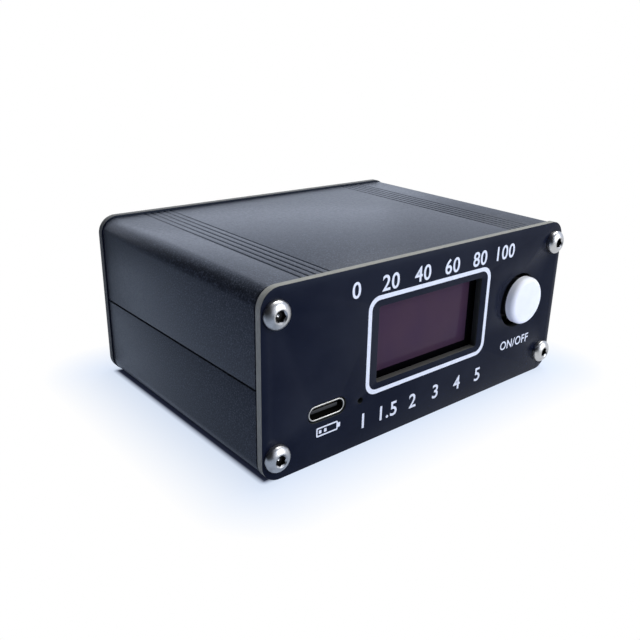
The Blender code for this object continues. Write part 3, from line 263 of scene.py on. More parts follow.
@dataclass(frozen=True)
class BlackAnodising:
    """Fine bead-blasted black anodised aluminium, with faint die lines along the extrusion."""

    colour: Colour = (0.0088, 0.0108, 0.0152)
    speck_colour: Colour = (0.053, 0.062, 0.081)
    bare_colour: Colour = (0.22, 0.23, 0.25)
    tint: Colour = (0.72, 0.80, 1.0)
    specular: float = 0.32
    roughness: Point = (0.28, 0.36)
    grain: float = 0.00030
    coarse_grain: float = 0.0007
    coarse_share: float = 0.25
    grit: Point = (0.60, 0.85)
    line_width: float = 0.0005
    line_length: float = 0.050
    line_share: float = 0.2
    blast_depth: float = 0.000013
    blast_strength: float = 0.7
    edge_width: float = 0.00015
    edge_wear: float = 0.5
    worn_patches: Point = (0.45, 0.7)

    def material(self) -> Material:
        """Builds the finish.

        Returns:
            The material.
        """
        graph = Graph("black_anodising")
        fine = graph.noise(self.grain, 3)
        coarse = graph.noise(self.coarse_grain, 2)
        lines = graph.noise(self.line_width, 2, (1, self.line_width / self.line_length, 1))
        grit = graph.maths("ADD", fine, graph.maths("MULTIPLY", coarse, self.coarse_share))
        colour = graph.patched(grit, self.grit, 1, self.colour, self.speck_colour)
        edges = graph.edges(self.edge_width, self.edge_wear)
        worn = graph.maths("MULTIPLY", edges, graph.span(coarse, self.worn_patches))
        colour = graph.blend(worn, colour, self.bare_colour)
        height = graph.maths("ADD", fine, graph.maths("MULTIPLY", lines, self.line_share))
        graph.relief(height, self.blast_depth, self.blast_strength)
        rough = graph.span(coarse, NOISE_BAND, self.roughness)
        values = {"base_color": colour, "roughness": rough, "specular_ior_level": self.specular}
        return graph.dress(**values, specular_tint=self.tint)


@dataclass(frozen=True)
class PanelMask:
    """The smooth black mask on a circuit-board panel's faces."""

    colour: Colour = (0.0056, 0.0074, 0.0170)
    dust_colour: Colour = (0.03, 0.035, 0.05)
    tint: Colour = (0.64, 0.80, 1.0)
    specular: float = 0.07
    roughness: Point = (0.20, 0.26)
    weave: float = 0.0009
    weave_stretch: float = 0.35
    weave_depth: float = 0.000004
    cloud: float = 0.0108
    cloudy: Point = (0.4, 0.7)
    cloud_share: float = 0.15
    dust: float = 0.00175
    dust_size: Point = (0.055, 0.02)
    dust_share: float = 0.35

    def material(self) -> Material:
        """Builds the finish.

        Returns:
            The material.
        """
        graph = Graph("panel_mask")
        cloud = graph.noise(self.cloud, 3)
        specks = graph.cells(self.dust)
        colour = graph.patched(specks, self.dust_size, self.dust_share, self.colour, self.dust_colour)
        colour = graph.patched(cloud, self.cloudy, self.cloud_share, colour, self.dust_colour)
        across = graph.noise(self.weave, 1, (1, 1, self.weave_stretch))
        down = graph.noise(self.weave, 1, (self.weave_stretch, 1, 1))
        graph.relief(graph.maths("ADD", across, down), self.weave_depth)
        values = {"base_color": colour, "roughness": graph.span(cloud, NOISE_BAND, self.roughness)}
        return graph.dress(**values, specular_ior_level=self.specular, specular_tint=self.tint)


@dataclass(frozen=True)
class Laminate:
    """The cut edge of a glass-fibre board: tan layers between thin dark lines of mask."""

    name: str
    front_y: float
    thickness: float
    colour: Colour = (0.255, 0.255, 0.225)
    fibre_colour: Colour = (0.10, 0.10, 0.085)
    mask_colour: Colour = (0.01, 0.012, 0.018)
    roughness: float = 0.62
    layers: int = 7
    fibre: float = 0.0012
    fibre_stretch: Sequence[float] = (1, 4, 1)
    fibre_share: float = 3.0
    fibres: Point = (0.6, 2.6)
    fibre_dark: float = 0.7
    fibre_depth: float = 0.00002
    fibre_strength: float = 0.6
    mask_share: float = 0.07

    def material(self) -> Material:
        """Builds the finish.

        Returns:
            The material.
        """
        graph = Graph(self.name)
        share = graph.maths("DIVIDE", graph.axis(1, Vector((0, self.front_y, 0))), self.thickness)
        weave = graph.noise(self.fibre, 3, self.fibre_stretch)
        fibres = graph.maths("MULTIPLY", weave, self.fibre_share)
        woven = graph.maths("ADD", graph.waves(share, self.layers), fibres)
        dark = graph.span(woven, self.fibres, (self.fibre_dark, 0))
        colour = graph.blend(dark, self.colour, self.fibre_colour)
        middle = graph.maths("ABSOLUTE", graph.maths("ADD", share, -0.5))
        rim = graph.span(middle, (0.5 - self.mask_share, 0.5 - self.mask_share / 2))
        colour = graph.blend(rim, colour, self.mask_colour)
        graph.relief(weave, self.fibre_depth, self.fibre_strength)
        return graph.dress(base_color=colour, roughness=self.roughness)


@dataclass(frozen=True)
class WhiteInk:
    """Screen-printed white ink with a slightly uneven film."""

    colour: Colour = (0.72, 0.75, 0.82)
    thin_colour: Colour = (0.50, 0.53, 0.62)
    roughness: float = 0.5
    grain: float = 0.00025
    thin: Point = (0.5, 0.75)
    thin_share: float = 0.6
    depth: float = 0.000008

    def material(self) -> Material:
        """Builds the finish.

        Returns:
            The material.
        """
        graph = Graph("white_ink")
        film = graph.noise(self.grain, 3)
        graph.relief(film, self.depth)
        colour = graph.patched(film, self.thin, self.thin_share, self.colour, self.thin_colour)
        return graph.dress(base_color=colour, roughness=self.roughness)


@dataclass(frozen=True)
class PolishedSteel:
    """Bright stainless steel with fine scratches and slightly dull patches."""

    colour: Colour = (0.54, 0.535, 0.53)
    dull_colour: Colour = (0.33, 0.325, 0.32)
    roughness: Point = (0.26, 0.38)
    rubbed: Point = (0.35, 0.7)
    patch: float = 0.0012
    dull: Point = (0.45, 0.75)
    dull_share: float = 0.6
    scratch: float = 0.00012
    scratch_stretch: Sequence[float] = (1, 1, 0.12)
    scratch_depth: float = 0.000001

    def material(self) -> Material:
        """Builds the finish.

        Returns:
            The material.
        """
        graph = Graph("polished_steel")
        patches = graph.noise(self.patch, 3)
        colour = graph.patched(patches, self.dull, self.dull_share, self.colour, self.dull_colour)
        graph.relief(graph.noise(self.scratch, 2, self.scratch_stretch), self.scratch_depth)
        rough = graph.span(patches, self.rubbed, self.roughness)
        return graph.dress(base_color=colour, roughness=rough, metallic=1.0)


@dataclass(frozen=True)
class TurnedNickel:
    """Bright nickel plate over a turned body, with fine rings round its axis."""

    name: str
    centre: Vector
    colour: Colour = (0.66, 0.64, 0.58)
    dull_colour: Colour = (0.38, 0.36, 0.31)
    roughness: Point = (0.18, 0.36)
    ring: float = 0.00018
    ring_depth: float = 0.000005
    patch: float = 0.0016
    dull: Point = (0.45, 0.75)
    dull_share: float = 0.8

    def material(self) -> Material:
        """Builds the finish.

        Returns:
            The material.
        """
        graph = Graph(self.name)
        patches = graph.noise(self.patch, 4)
        distance = graph.maths("ADD", graph.radius(self.centre), graph.axis(1))
        uneven = graph.maths("MULTIPLY", graph.waves(distance, 1 / self.ring), graph.noise(self.patch / 3, 2))
        colour = graph.patched(patches, self.dull, self.dull_share, self.colour, self.dull_colour)
        graph.relief(uneven, self.ring_depth)
        rough = graph.span(patches, NOISE_BAND, self.roughness)
        return graph.dress(base_color=colour, roughness=rough, metallic=1.0)


@dataclass(frozen=True)
class MouldedPlastic:
    """A moulded plastic with a fine surface texture and slight cloudiness."""

    name: str
    colour: Colour
    cloud_colour: Colour
    roughness: Point = (0.30, 0.42)
    grain: float = 0.00030
    cloud: float = 0.004
    cloudy: Point = (0.35, 0.7)
    depth: float = 0.000005
    strength: float = 0.6

    def material(self) -> Material:
        """Builds the finish.

        Returns:
            The material.
        """
        graph = Graph(self.name)
        cloud = graph.noise(self.cloud, 3)
        colour = graph.patched(cloud, self.cloudy, 1, self.colour, self.cloud_colour)
        graph.relief(graph.noise(self.grain, 3), self.depth, self.strength)
        return graph.dress(base_color=colour, roughness=graph.span(cloud, NOISE_BAND, self.roughness))


@dataclass(frozen=True)
class DisplayGlass:
    """A dark display behind glass: a purple-black active area inside a black border."""

    centre: Vector
    width: float = 0.02942
    height: float = 0.0147
    edge: float = 0.00015
    active_colour: Colour = (0.053, 0.029, 0.050)
    border_colour: Colour = (0.002, 0.002, 0.003)
    tint_colour: Colour = (0.046, 0.025, 0.050)
    specular: float = 0.06
    roughness: Point = (0.06, 0.14)
    cloud: float = 0.00882
    cloudy: Point = (0.35, 0.7)
    smudge: float = 0.003
    smudged: Point = (0.35, 0.75)
    wave: float = 0.006
    wave_depth: float = 0.000004
    wave_strength: float = 0.3

    def material(self) -> Material:
        """Builds the finish.

        Returns:
            The material.
        """
        graph = Graph("display_glass")
        inside = []
        for index, length in ((0, self.width), (2, self.height)):
            from_middle = graph.maths("ABSOLUTE", graph.axis(index, self.centre))
            inside.append(graph.span(from_middle, (length / 2, length / 2 - self.edge)))
        cloud = graph.noise(self.cloud, 1)
        colour = graph.patched(cloud, self.cloudy, 1, self.active_colour, self.tint_colour)
        colour = graph.blend(graph.maths("MULTIPLY", *inside), self.border_colour, colour)
        graph.relief(graph.noise(self.wave, 1), self.wave_depth, self.wave_strength)
        rough = graph.span(graph.noise(self.smudge, 3), self.smudged, self.roughness)
        return graph.dress(base_color=colour, roughness=rough, specular_ior_level=self.specular)


@dataclass(frozen=True)
class CircuitBoard:
    """Green mask over copper tracks with scattered bright pads."""

    name: str
    upright: bool
    colour: Colour = (0.010, 0.075, 0.035)
    track_colour: Colour = (0.03, 0.17, 0.07)
    pad_colour: Colour = (0.70, 0.68, 0.60)
    roughness: float = 0.38
    track: float = 0.0009
    track_depth: float = 0.00003
    cell: float = 0.0045
    pad_size: Point = (0.10, 0.07)

    def material(self) -> Material:
        """Builds the finish.

        Returns:
            The material.
        """
        graph = Graph(self.name)
        inputs = {
            "Vector": self.laid_flat(graph),
            "Color1": (0, 0, 0),
            "Color2": (1, 1, 1),
            "Mortar": (0.5, 0.5, 0.5),
            "Scale": 1 / self.cell,
            "Mortar Size": self.track / self.cell / 4,
        }
        tracks = graph.node("ShaderNodeTexBrick", inputs).outputs["Fac"]
        colour = graph.blend(tracks, self.colour, self.track_colour)
        colour = graph.blend(graph.span(graph.cells(self.cell), self.pad_size), colour, self.pad_colour)
        graph.relief(graph.maths("ADD", tracks, graph.noise(self.track / 3, 2)), self.track_depth)
        return graph.dress(base_color=colour, roughness=self.roughness)

    def laid_flat(self, graph: Graph) -> Socket:
        """The place on the board, with an upright board's height as the second axis."""
        parts = graph.node("ShaderNodeSeparateXYZ", {0: graph.place}).outputs
        return graph.out("ShaderNodeCombineXYZ", {0: parts[0], 1: parts[2 if self.upright else 1]})


@dataclass(frozen=True)
class PlainMetal:
    """A drawn or plated metal with a fine grain: wire, foil, contacts and the port's shell."""

    name: str
    colour: Colour
    dull_colour: Colour
    roughness: Point = (0.2, 0.38)
    grain: float = 0.0004
    metallic: float = 1.0
    patch: float = 5.0
    dull: Point = (0.4, 0.75)
    dull_share: float = 0.8
    slope: float = 1 / 60

    def material(self) -> Material:
        """Builds the finish.

        Returns:
            The material.
        """
        graph = Graph(self.name)
        patches = graph.noise(self.grain * self.patch, 4)
        colour = graph.patched(patches, self.dull, self.dull_share, self.colour, self.dull_colour)
        graph.relief(graph.noise(self.grain, 3), self.grain * self.slope)
        rough = graph.span(patches, NOISE_BAND, self.roughness)
        return graph.dress(base_color=colour, roughness=rough, metallic=self.metallic)


@dataclass(frozen=True)
class Palette:
    """The meter's shared finishes, each built once."""

    # Darker copies of the laminate colour, each painted shade: for the rear panel's edge, the window's sill,
    # and the walls of the holes and the window's sides.
    rear_shade: ClassVar[tuple[Colour, Colour]] = ((0.085, 0.086, 0.078), (0.045, 0.045, 0.040))
    shaded: ClassVar[tuple[Colour, Colour]] = ((0.075, 0.073, 0.064), (0.040, 0.040, 0.036))
    hole_shade: ClassVar[tuple[Colour, Colour]] = ((0.011, 0.015, 0.015), (0.006, 0.008, 0.008))
    anodised: Material
    mask: Material
    front_edge: Material
    rear_edge: Material
    sill_edge: Material
    cut_edge: Material
    ink: Material
    steel: Material
    pocket: Material
    button: Material
    glass: Material
    port: Material
    black: Material
    gold: Material
    indicator: Material
    insulator: Material
    upright_board: Material
    flat_board: Material
    copper: Material
    ferrite: Material
    foil: Material
    red: Material
    thread: Material

    @classmethod
    def mixed(cls) -> "Palette":
        """Builds the finishes at the places that the frame gives.

        Returns:
            The palette.
        """
        front, rear = Box.of("front_panel"), Box.of("rear_panel")
        span = (front.low.y, front.size.y)
        finishes = {
            "anodised": BlackAnodising(),
            "mask": PanelMask(),
            "front_edge": Laminate("front_laminate", *span),
            # The rear edge, sill and hole-wall laminates are darkened as painted shade.
            "rear_edge": Laminate("rear_laminate", rear.low.y, rear.size.y, *cls.rear_shade),
            "sill_edge": Laminate("sill_laminate", *span, *cls.shaded),
            "cut_edge": Laminate("cut_laminate", *span, *cls.hole_shade),
            "ink": WhiteInk(),
            "steel": PolishedSteel(),
            # Near-black steel for the screws' hex pockets and the port's inner wall: painted shade in these
            # recesses.
            "pocket": PlainMetal("pocket_shade_steel", (0.030, 0.028, 0.026), (0.01, 0.01, 0.01), (0.5, 0.65)),
            "button": MouldedPlastic("button_white", (0.84, 0.86, 0.90), (0.78, 0.80, 0.85), (0.34, 0.44)),
            "glass": DisplayGlass(Display().active_centre()),
            "port": PlainMetal("port_nickel", (0.66, 0.64, 0.60), (0.38, 0.37, 0.35)),
            "black": MouldedPlastic("black_plastic", (0.01, 0.01, 0.011), (0.018, 0.018, 0.02), (0.4, 0.55)),
            "gold": PlainMetal("contact_gold", (0.85, 0.62, 0.24), (0.55, 0.38, 0.13), (0.18, 0.32)),
            "indicator": MouldedPlastic("indicator_white", (0.80, 0.80, 0.76), (0.70, 0.70, 0.64)),
            "insulator": MouldedPlastic("insulator_cream", (0.8, 0.79, 0.73), (0.72, 0.7, 0.62), (0.4, 0.5)),
            "upright_board": CircuitBoard("upright_board", True),
            "flat_board": CircuitBoard("flat_board", False),
            "copper": PlainMetal("enamelled_copper", (0.62, 0.23, 0.09), (0.40, 0.13, 0.05), (0.22, 0.34)),
            "ferrite": PlainMetal(
                "ferrite", (0.055, 0.055, 0.06), (0.03, 0.03, 0.03), (0.55, 0.75), grain=0.0002, metallic=0.0
            ),
            "foil": PlainMetal("battery_foil", (0.55, 0.57, 0.60), (0.40, 0.42, 0.45), (0.28, 0.42), 0.0008),
            "red": MouldedPlastic("red_lead", (0.50, 0.015, 0.012), (0.40, 0.01, 0.01), (0.4, 0.5)),
            "thread": PlainMetal("thread_nickel", (0.66, 0.64, 0.58), (0.38, 0.36, 0.31)),
        }
        return cls(**{word: finish.material() for word, finish in finishes.items()})


# Shapes


def arc(centre: Point, radius: float, first: float, last: float, steps: int) -> list[Point]:
    """Points along an arc, both ends included."""
    angles = [first + (last - first) * step / steps for step in range(steps + 1)]
    return [(centre[0] + radius * math.cos(angle), centre[1] + radius * math.sin(angle)) for angle in angles]


def circle(centre: Point, radius: float, steps: int) -> list[Point]:
    """Points round a circle."""
    return arc(centre, radius, 0, 2 * math.pi, steps)[:-1]


def rounded(centre: Point, width: float, height: float, radius: float, steps: int = 10) -> list[Point]:
    """Points round a rectangle with round corners.

    Args:
        centre: The rectangle's middle.
        width: Its width.
        height: Its height.
        radius: The corners' radius.
        steps: Steps round each corner.

    Returns:
        The points, in order.
    """
    points: list[Point] = []
    for turn, (right, up) in enumerate(((1, 1), (-1, 1), (-1, -1), (1, -1))):
        corner = (centre[0] + right * (width / 2 - radius), centre[1] + up * (height / 2 - radius))
        points += arc(corner, radius, turn * math.pi / 2, (turn + 1) * math.pi / 2, steps)
    return [point for index, point in enumerate(points) if math.dist(point, points[index - 1]) > WELD]


def prism(outlines: Sequence[Sequence[Point]], front: float, rear: float) -> BMesh:
    """Draws an outline in X and Z, less the holes that follow it, out along Y.

    Args:
        outlines: The outer outline, then the holes.
        front: The lower Y.
        rear: The higher Y.

    Returns:
        A closed mesh with its faces out.
    """
    bm = bmesh.new()
    edges = []
    for outline in outlines:
        verts = [bm.verts.new((x, front, z)) for x, z in outline]
        edges += [bm.edges.new(pair) for pair in zip(verts, verts[1:] + verts[:1])]
    bmesh.ops.triangle_fill(bm, edges=edges, use_beauty=True, normal=(0, -1, 0))
    drawn = bmesh.ops.extrude_face_region(bm, geom=bm.faces[:])
    moved = [item for item in drawn["geom"] if isinstance(item, bmesh.types.BMVert)]
    bmesh.ops.translate(bm, vec=(0, rear - front, 0), verts=moved)
    bmesh.ops.recalc_face_normals(bm, faces=bm.faces[:])
    return bm


def lathe(profile: Sequence[Point], centre: Vector, steps: int, ring: bool = False) -> BMesh:
    """Turns a profile of radius and Y about an axis along Y.

    Args:
        profile: Points of radius and Y, from one end to the other.
        centre: A point on the axis; its Y isn't used.
        steps: Faces round the axis.
        ring: Whether the profile closes on itself, away from the axis.

    Returns:
        A closed mesh with its faces out.
    """
    bm = bmesh.new()
    verts = [bm.verts.new((radius, along, 0)) for radius, along in profile]
    ends = verts[1:] + verts[:1] if ring else verts[1:]
    edges = [bm.edges.new(pair) for pair in zip(verts, ends)]
    around = {"cent": (0, 0, 0), "axis": (0, 1, 0), "angle": 2 * math.pi, "steps": steps, "use_merge": True}
    bmesh.ops.spin(bm, geom=verts + edges, **around)
    bmesh.ops.remove_doubles(bm, verts=bm.verts[:], dist=WELD)
    bmesh.ops.recalc_face_normals(bm, faces=bm.faces[:])
    bmesh.ops.translate(bm, vec=(centre.x, 0, centre.z), verts=bm.verts[:])
    return bm


def eased(bm: BMesh, width: float, segments: int = 2, sharp: float = 0.6) -> BMesh:
    """Rounds the mesh's sharp edges by a small width.

    Args:
        bm: The mesh.
        width: The rounding's width.
        segments: Steps across it.
        sharp: The angle past which an edge is rounded.

    Returns:
        The same mesh.
    """
    edges = [edge for edge in bm.edges if len(edge.link_faces) == 2 and edge.calc_face_angle() > sharp]
    rounding = {"offset": width, "segments": segments, "profile": 0.5}
    bmesh.ops.bevel(bm, geom=edges, affect="EDGES", clamp_overlap=True, **rounding)
    return bm


def piece(
    name: str,
    bm: BMesh,
    materials: Sequence[Material],
    smooth: float = SHARP,
) -> Object:
    """Makes an object of a finished mesh, at the origin.

    Args:
        name: The piece's name.
        bm: Its mesh, in place; it is freed.
        materials: Its finishes, in the order of their face indices.
        smooth: The angle past which an edge stays sharp.

    Returns:
        The object.
    """
    mesh = bpy.data.meshes.new(name)
    bm.to_mesh(mesh)
    bm.free()
    for material in materials:
        mesh.materials.append(material)
    mesh.shade_smooth()
    mesh.set_sharp_from_angle(angle=smooth)
    made = bpy.data.objects.new(name, mesh)
    bpy.context.scene.collection.objects.link(made)
    return made


def named(*starts: str) -> list[str]:
    """The frame's nodes whose names start so, in order."""
    return [node for node in sorted(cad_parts) if node.startswith(starts)]


def settle(made: Object, slot: str, *nodes: str, body: Body = Body.CASE) -> Object:
    """Lets a finished piece ride on its body and stand for the frame's nodes.

    Args:
        made: The piece.
        slot: The record's material slot; not used.
        nodes: Frame nodes that the piece stands for.
        body: The rigid body that carries it.

    Returns:
        The piece.
    """
    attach(made, body.value)
    if nodes:
        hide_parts(*nodes)
    log.info("%s: %d faces, on %s", made.name, len(made.data.polygons), body.value)
    return made


# Geometry node recipes


class Recipe(Nodes):
    """A geometry node tree with named inputs, run once and kept as a plain mesh."""

    smooth: ClassVar[float] = math.radians(32)

    def __init__(self, name: str, sizes: dict[str, float | int]) -> None:
        """Makes a tree with a geometry input and one input for each size.

        Args:
            name: The tree's name.
            sizes: Each named input's value; a whole number makes a whole-number input.
        """
        super().__init__(bpy.data.node_groups.new(name, "GeometryNodeTree"))
        self.sizes = sizes
        interface = self.tree.interface
        interface.new_socket("Geometry", in_out="INPUT", socket_type="NodeSocketGeometry")
        self.keys = {}
        for word, value in sizes.items():
            kind = "NodeSocketInt" if isinstance(value, int) else "NodeSocketFloat"
            self.keys[word] = interface.new_socket(word, in_out="INPUT", socket_type=kind).identifier
        interface.new_socket("Geometry", in_out="OUTPUT", socket_type="NodeSocketGeometry")
        self.given = self.tree.nodes.new("NodeGroupInput").outputs
        self.result = self.tree.nodes.new("NodeGroupOutput").inputs[0]

    def vector(self, x: object = 0.0, y: object = 0.0, z: object = 0.0) -> Socket:
        """Joins three numbers to a vector."""
        return self.out("ShaderNodeCombineXYZ", {0: x, 1: y, 2: z})

    def mixed(self, operation: str, first: object, *others: Socket) -> Socket:
        """Joins solids to the first, or cuts them out of it.

        Args:
            operation: UNION or DIFFERENCE.
            first: The first solid.
            others: The others.

        Returns:
            The solid.
        """
        made = self.node("GeometryNodeMeshBoolean", operation=operation, solver="EXACT")
        self.tree.links.new(first, made.inputs["Mesh 2" if operation == "UNION" else "Mesh 1"])
        for other in others:
            self.tree.links.new(other, made.inputs["Mesh 2"])
        return made.outputs[0]

    def moved(self, geometry: object, shift: object, turn: object = ORIGIN) -> Socket:
        """Moves and turns a geometry."""
        inputs = {"Geometry": geometry, "Translation": shift, "Rotation": turn}
        return self.out("GeometryNodeTransform", inputs)

    def marked(self, geometry: Socket) -> Socket:
        """Marks a solid's faces, and the faces that it cuts in another."""
        inputs = {"Geometry": geometry, "Name": "marked", "Value": True}
        return self.out("GeometryNodeStoreNamedAttribute", inputs, data_type="BOOLEAN", domain="FACE")

    def run(
        self,
        name: str,
        places: Iterable[Vector],
        geometry: Socket,
        material: Material,
        marked: Material | None = None,
    ) -> Object:
        """Ends the tree, runs it on a set of points and keeps the result as a plain mesh.

        Args:
            name: The piece's name.
            places: Points that the tree gets as its geometry.
            geometry: The tree's last geometry.
            material: The finish of the whole result.
            marked: Another finish for the marked faces.

        Returns:
            The object, at the origin, with no modifier.
        """
        real = self.out("GeometryNodeRealizeInstances", {0: geometry})
        painted = self.out("GeometryNodeSetMaterial", {"Geometry": real, "Material": material})
        if marked:
            picked = self.out("GeometryNodeInputNamedAttribute", {0: "marked"}, data_type="BOOLEAN")
            inputs = {"Geometry": painted, "Selection": picked, "Material": marked}
            painted = self.out("GeometryNodeSetMaterial", inputs)
        self.tree.links.new(painted, self.result)
        points = bpy.data.meshes.new(name)
        points.from_pydata([tuple(place) for place in places], [], [])
        made = bpy.data.objects.new(name, points)
        bpy.context.scene.collection.objects.link(made)
        step = made.modifiers.new("recipe", "NODES")
        step.node_group = self.tree
        for word, key in self.keys.items():
            step[key] = self.sizes[word]
        graph = bpy.context.evaluated_depsgraph_get()
        mesh = bpy.data.meshes.new_from_object(made.evaluated_get(graph))
        made.modifiers.remove(step)
        made.data = mesh
        bpy.data.meshes.remove(points)
        bm = bmesh.new()
        bm.from_mesh(mesh)
        bmesh.ops.remove_doubles(bm, verts=bm.verts[:], dist=WELD)
        bmesh.ops.recalc_face_normals(bm, faces=bm.faces[:])
        bm.to_mesh(mesh)
        bm.free()
        mesh.shade_smooth()
        mesh.set_sharp_from_angle(angle=self.smooth)
        return made


# Sub-assemblies


@dataclass
class Shells:
    """The two extruded half shells, drawn from one cross-section."""

    wall: float = 0.0016
    corner_radius: float = 0.0034
    corner_steps: int = 20
    seam_gap: float = 0.0004
    seam_step: float = 0.0004
    lip: float = 0.00065
    tongue_reach: float = 0.0013
    groove_count: int = 5
    groove_pitch: float = 0.00165
    groove_width: float = 0.00052
    groove_depth: float = 0.00016
    groove_steps: int = 5
    groove_band_inset: float = 0.0136
    screw_bore: float = 0.00175
    port_lip: float = 0.00095
    port_mouth: float = 0.0016
    port_wall: float = 0.00035
    slot_height: float = 0.0022
    rib_thickness: float = 0.0010
    rib_reach: float = 0.0016
    edge: float = 0.00012
    side_growth: float = 0.0002
    front_gap: float = 0.0003

    def build(self, palette: Palette) -> None:
        """Makes both shells.

        Args:
            palette: The finishes.
        """
        box = Box.of("lower_shell", "upper_shell")
        profile = self.profile(box.size.x / 2 + self.side_growth, box.size.z / 2)
        for node, over in (("lower_shell", 1), ("upper_shell", -1)):
            outline = [(over * x, box.centre.z + over * z) for x, z in profile]
            bm = eased(prism([outline], box.low.y + self.front_gap, box.high.y), self.edge, 2, 0.9)
            settle(piece(f"{node}_skin", bm, [palette.anodised]), "black_anodised", node)

    def groove_band(self, middle: float, bottom: float) -> list[Point]:
        """Five round-bottomed grooves, from left to right.

        Args:
            middle: The band's middle in X.
            bottom: The height of the face it is in.

        Returns:
            The points, in order.
        """
        points: list[Point] = []
        half = self.groove_width / 2
        for index in range(self.groove_count):
            x = middle + (index - (self.groove_count - 1) / 2) * self.groove_pitch
            for step in range(self.groove_steps + 1):
                angle = math.pi * step / self.groove_steps
                points.append((x - half * math.cos(angle), bottom + self.groove_depth * math.sin(angle)))
        return points

    def profile(self, half_width: float, half_height: float) -> list[Point]:
        """The lower shell's cross-section, about the axis that the two shells are turned over on.

        Args:
            half_width: Half the shells' width.
            half_height: Half their height together.

        Returns:
            The points, in order.
        """
        radius = self.corner_radius
        corner_x = half_width - radius
        corner_z = radius - half_height
        band = half_width - self.groove_band_inset
        left = arc((-corner_x, corner_z), radius, math.pi, 1.5 * math.pi, self.corner_steps)
        right = arc((corner_x, corner_z), radius, 1.5 * math.pi, 2 * math.pi, self.corner_steps)
        bands = self.groove_band(-band, -half_height) + self.groove_band(band, -half_height)
        inner_x = half_width - self.wall
        shoulder = -self.seam_step - self.seam_gap / 2
        tongue = shoulder + self.tongue_reach
        lip_x = half_width - self.lip
        step_z = -tongue - (self.wall - 2 * self.lip)
        seam_right = [
            (half_width, self.seam_step - self.seam_gap / 2),
            (lip_x, self.seam_step - self.seam_gap / 2),
            (lip_x, step_z),
            (inner_x, step_z),
        ]
        seam_left = [
            (-inner_x, tongue),
            (-inner_x - self.lip, tongue),
            (-inner_x - self.lip, shoulder),
            (-half_width, shoulder),
        ]
        inner = self.inner_side(half_width, half_height)
        mirrored = [(-x, z) for x, z in reversed(inner)]
        return left + bands + right + seam_right + inner + mirrored + seam_left

    def inner_side(self, half_width: float, half_height: float) -> list[Point]:
        """The right inner contour: the board's rib and slot, and the screw port.

        Args:
            half_width: Half the shells' width.
            half_height: Half their height together.

        Returns:
            The points, in order.
        """
        inner_x = half_width - self.wall
        screw = Box.of("front_screw_bottom_right").centre
        screw_x = screw.x
        screw_z = screw.z - Box.of("lower_shell", "upper_shell").centre.z
        block_x = screw_x - self.screw_bore - self.port_lip
        slot_floor = screw_z + self.screw_bore + self.port_wall
        ceiling = slot_floor + self.slot_height
        rib_x = inner_x - self.rib_reach
        mouth = self.port_mouth / 2
        angle = math.asin(mouth / self.screw_bore)
        start = math.pi - angle
        bore = arc((screw_x, screw_z), self.screw_bore, start, -start, 2 * self.corner_steps)
        return [
            (inner_x, ceiling + self.rib_thickness),
            (rib_x, ceiling + self.rib_thickness),
            (rib_x, ceiling),
            (inner_x, ceiling),
            (inner_x, slot_floor),
            (block_x, slot_floor),
            (block_x, screw_z + mouth),
            *bore,
            (block_x, screw_z - mouth),
            (block_x, self.wall - half_height),
        ]


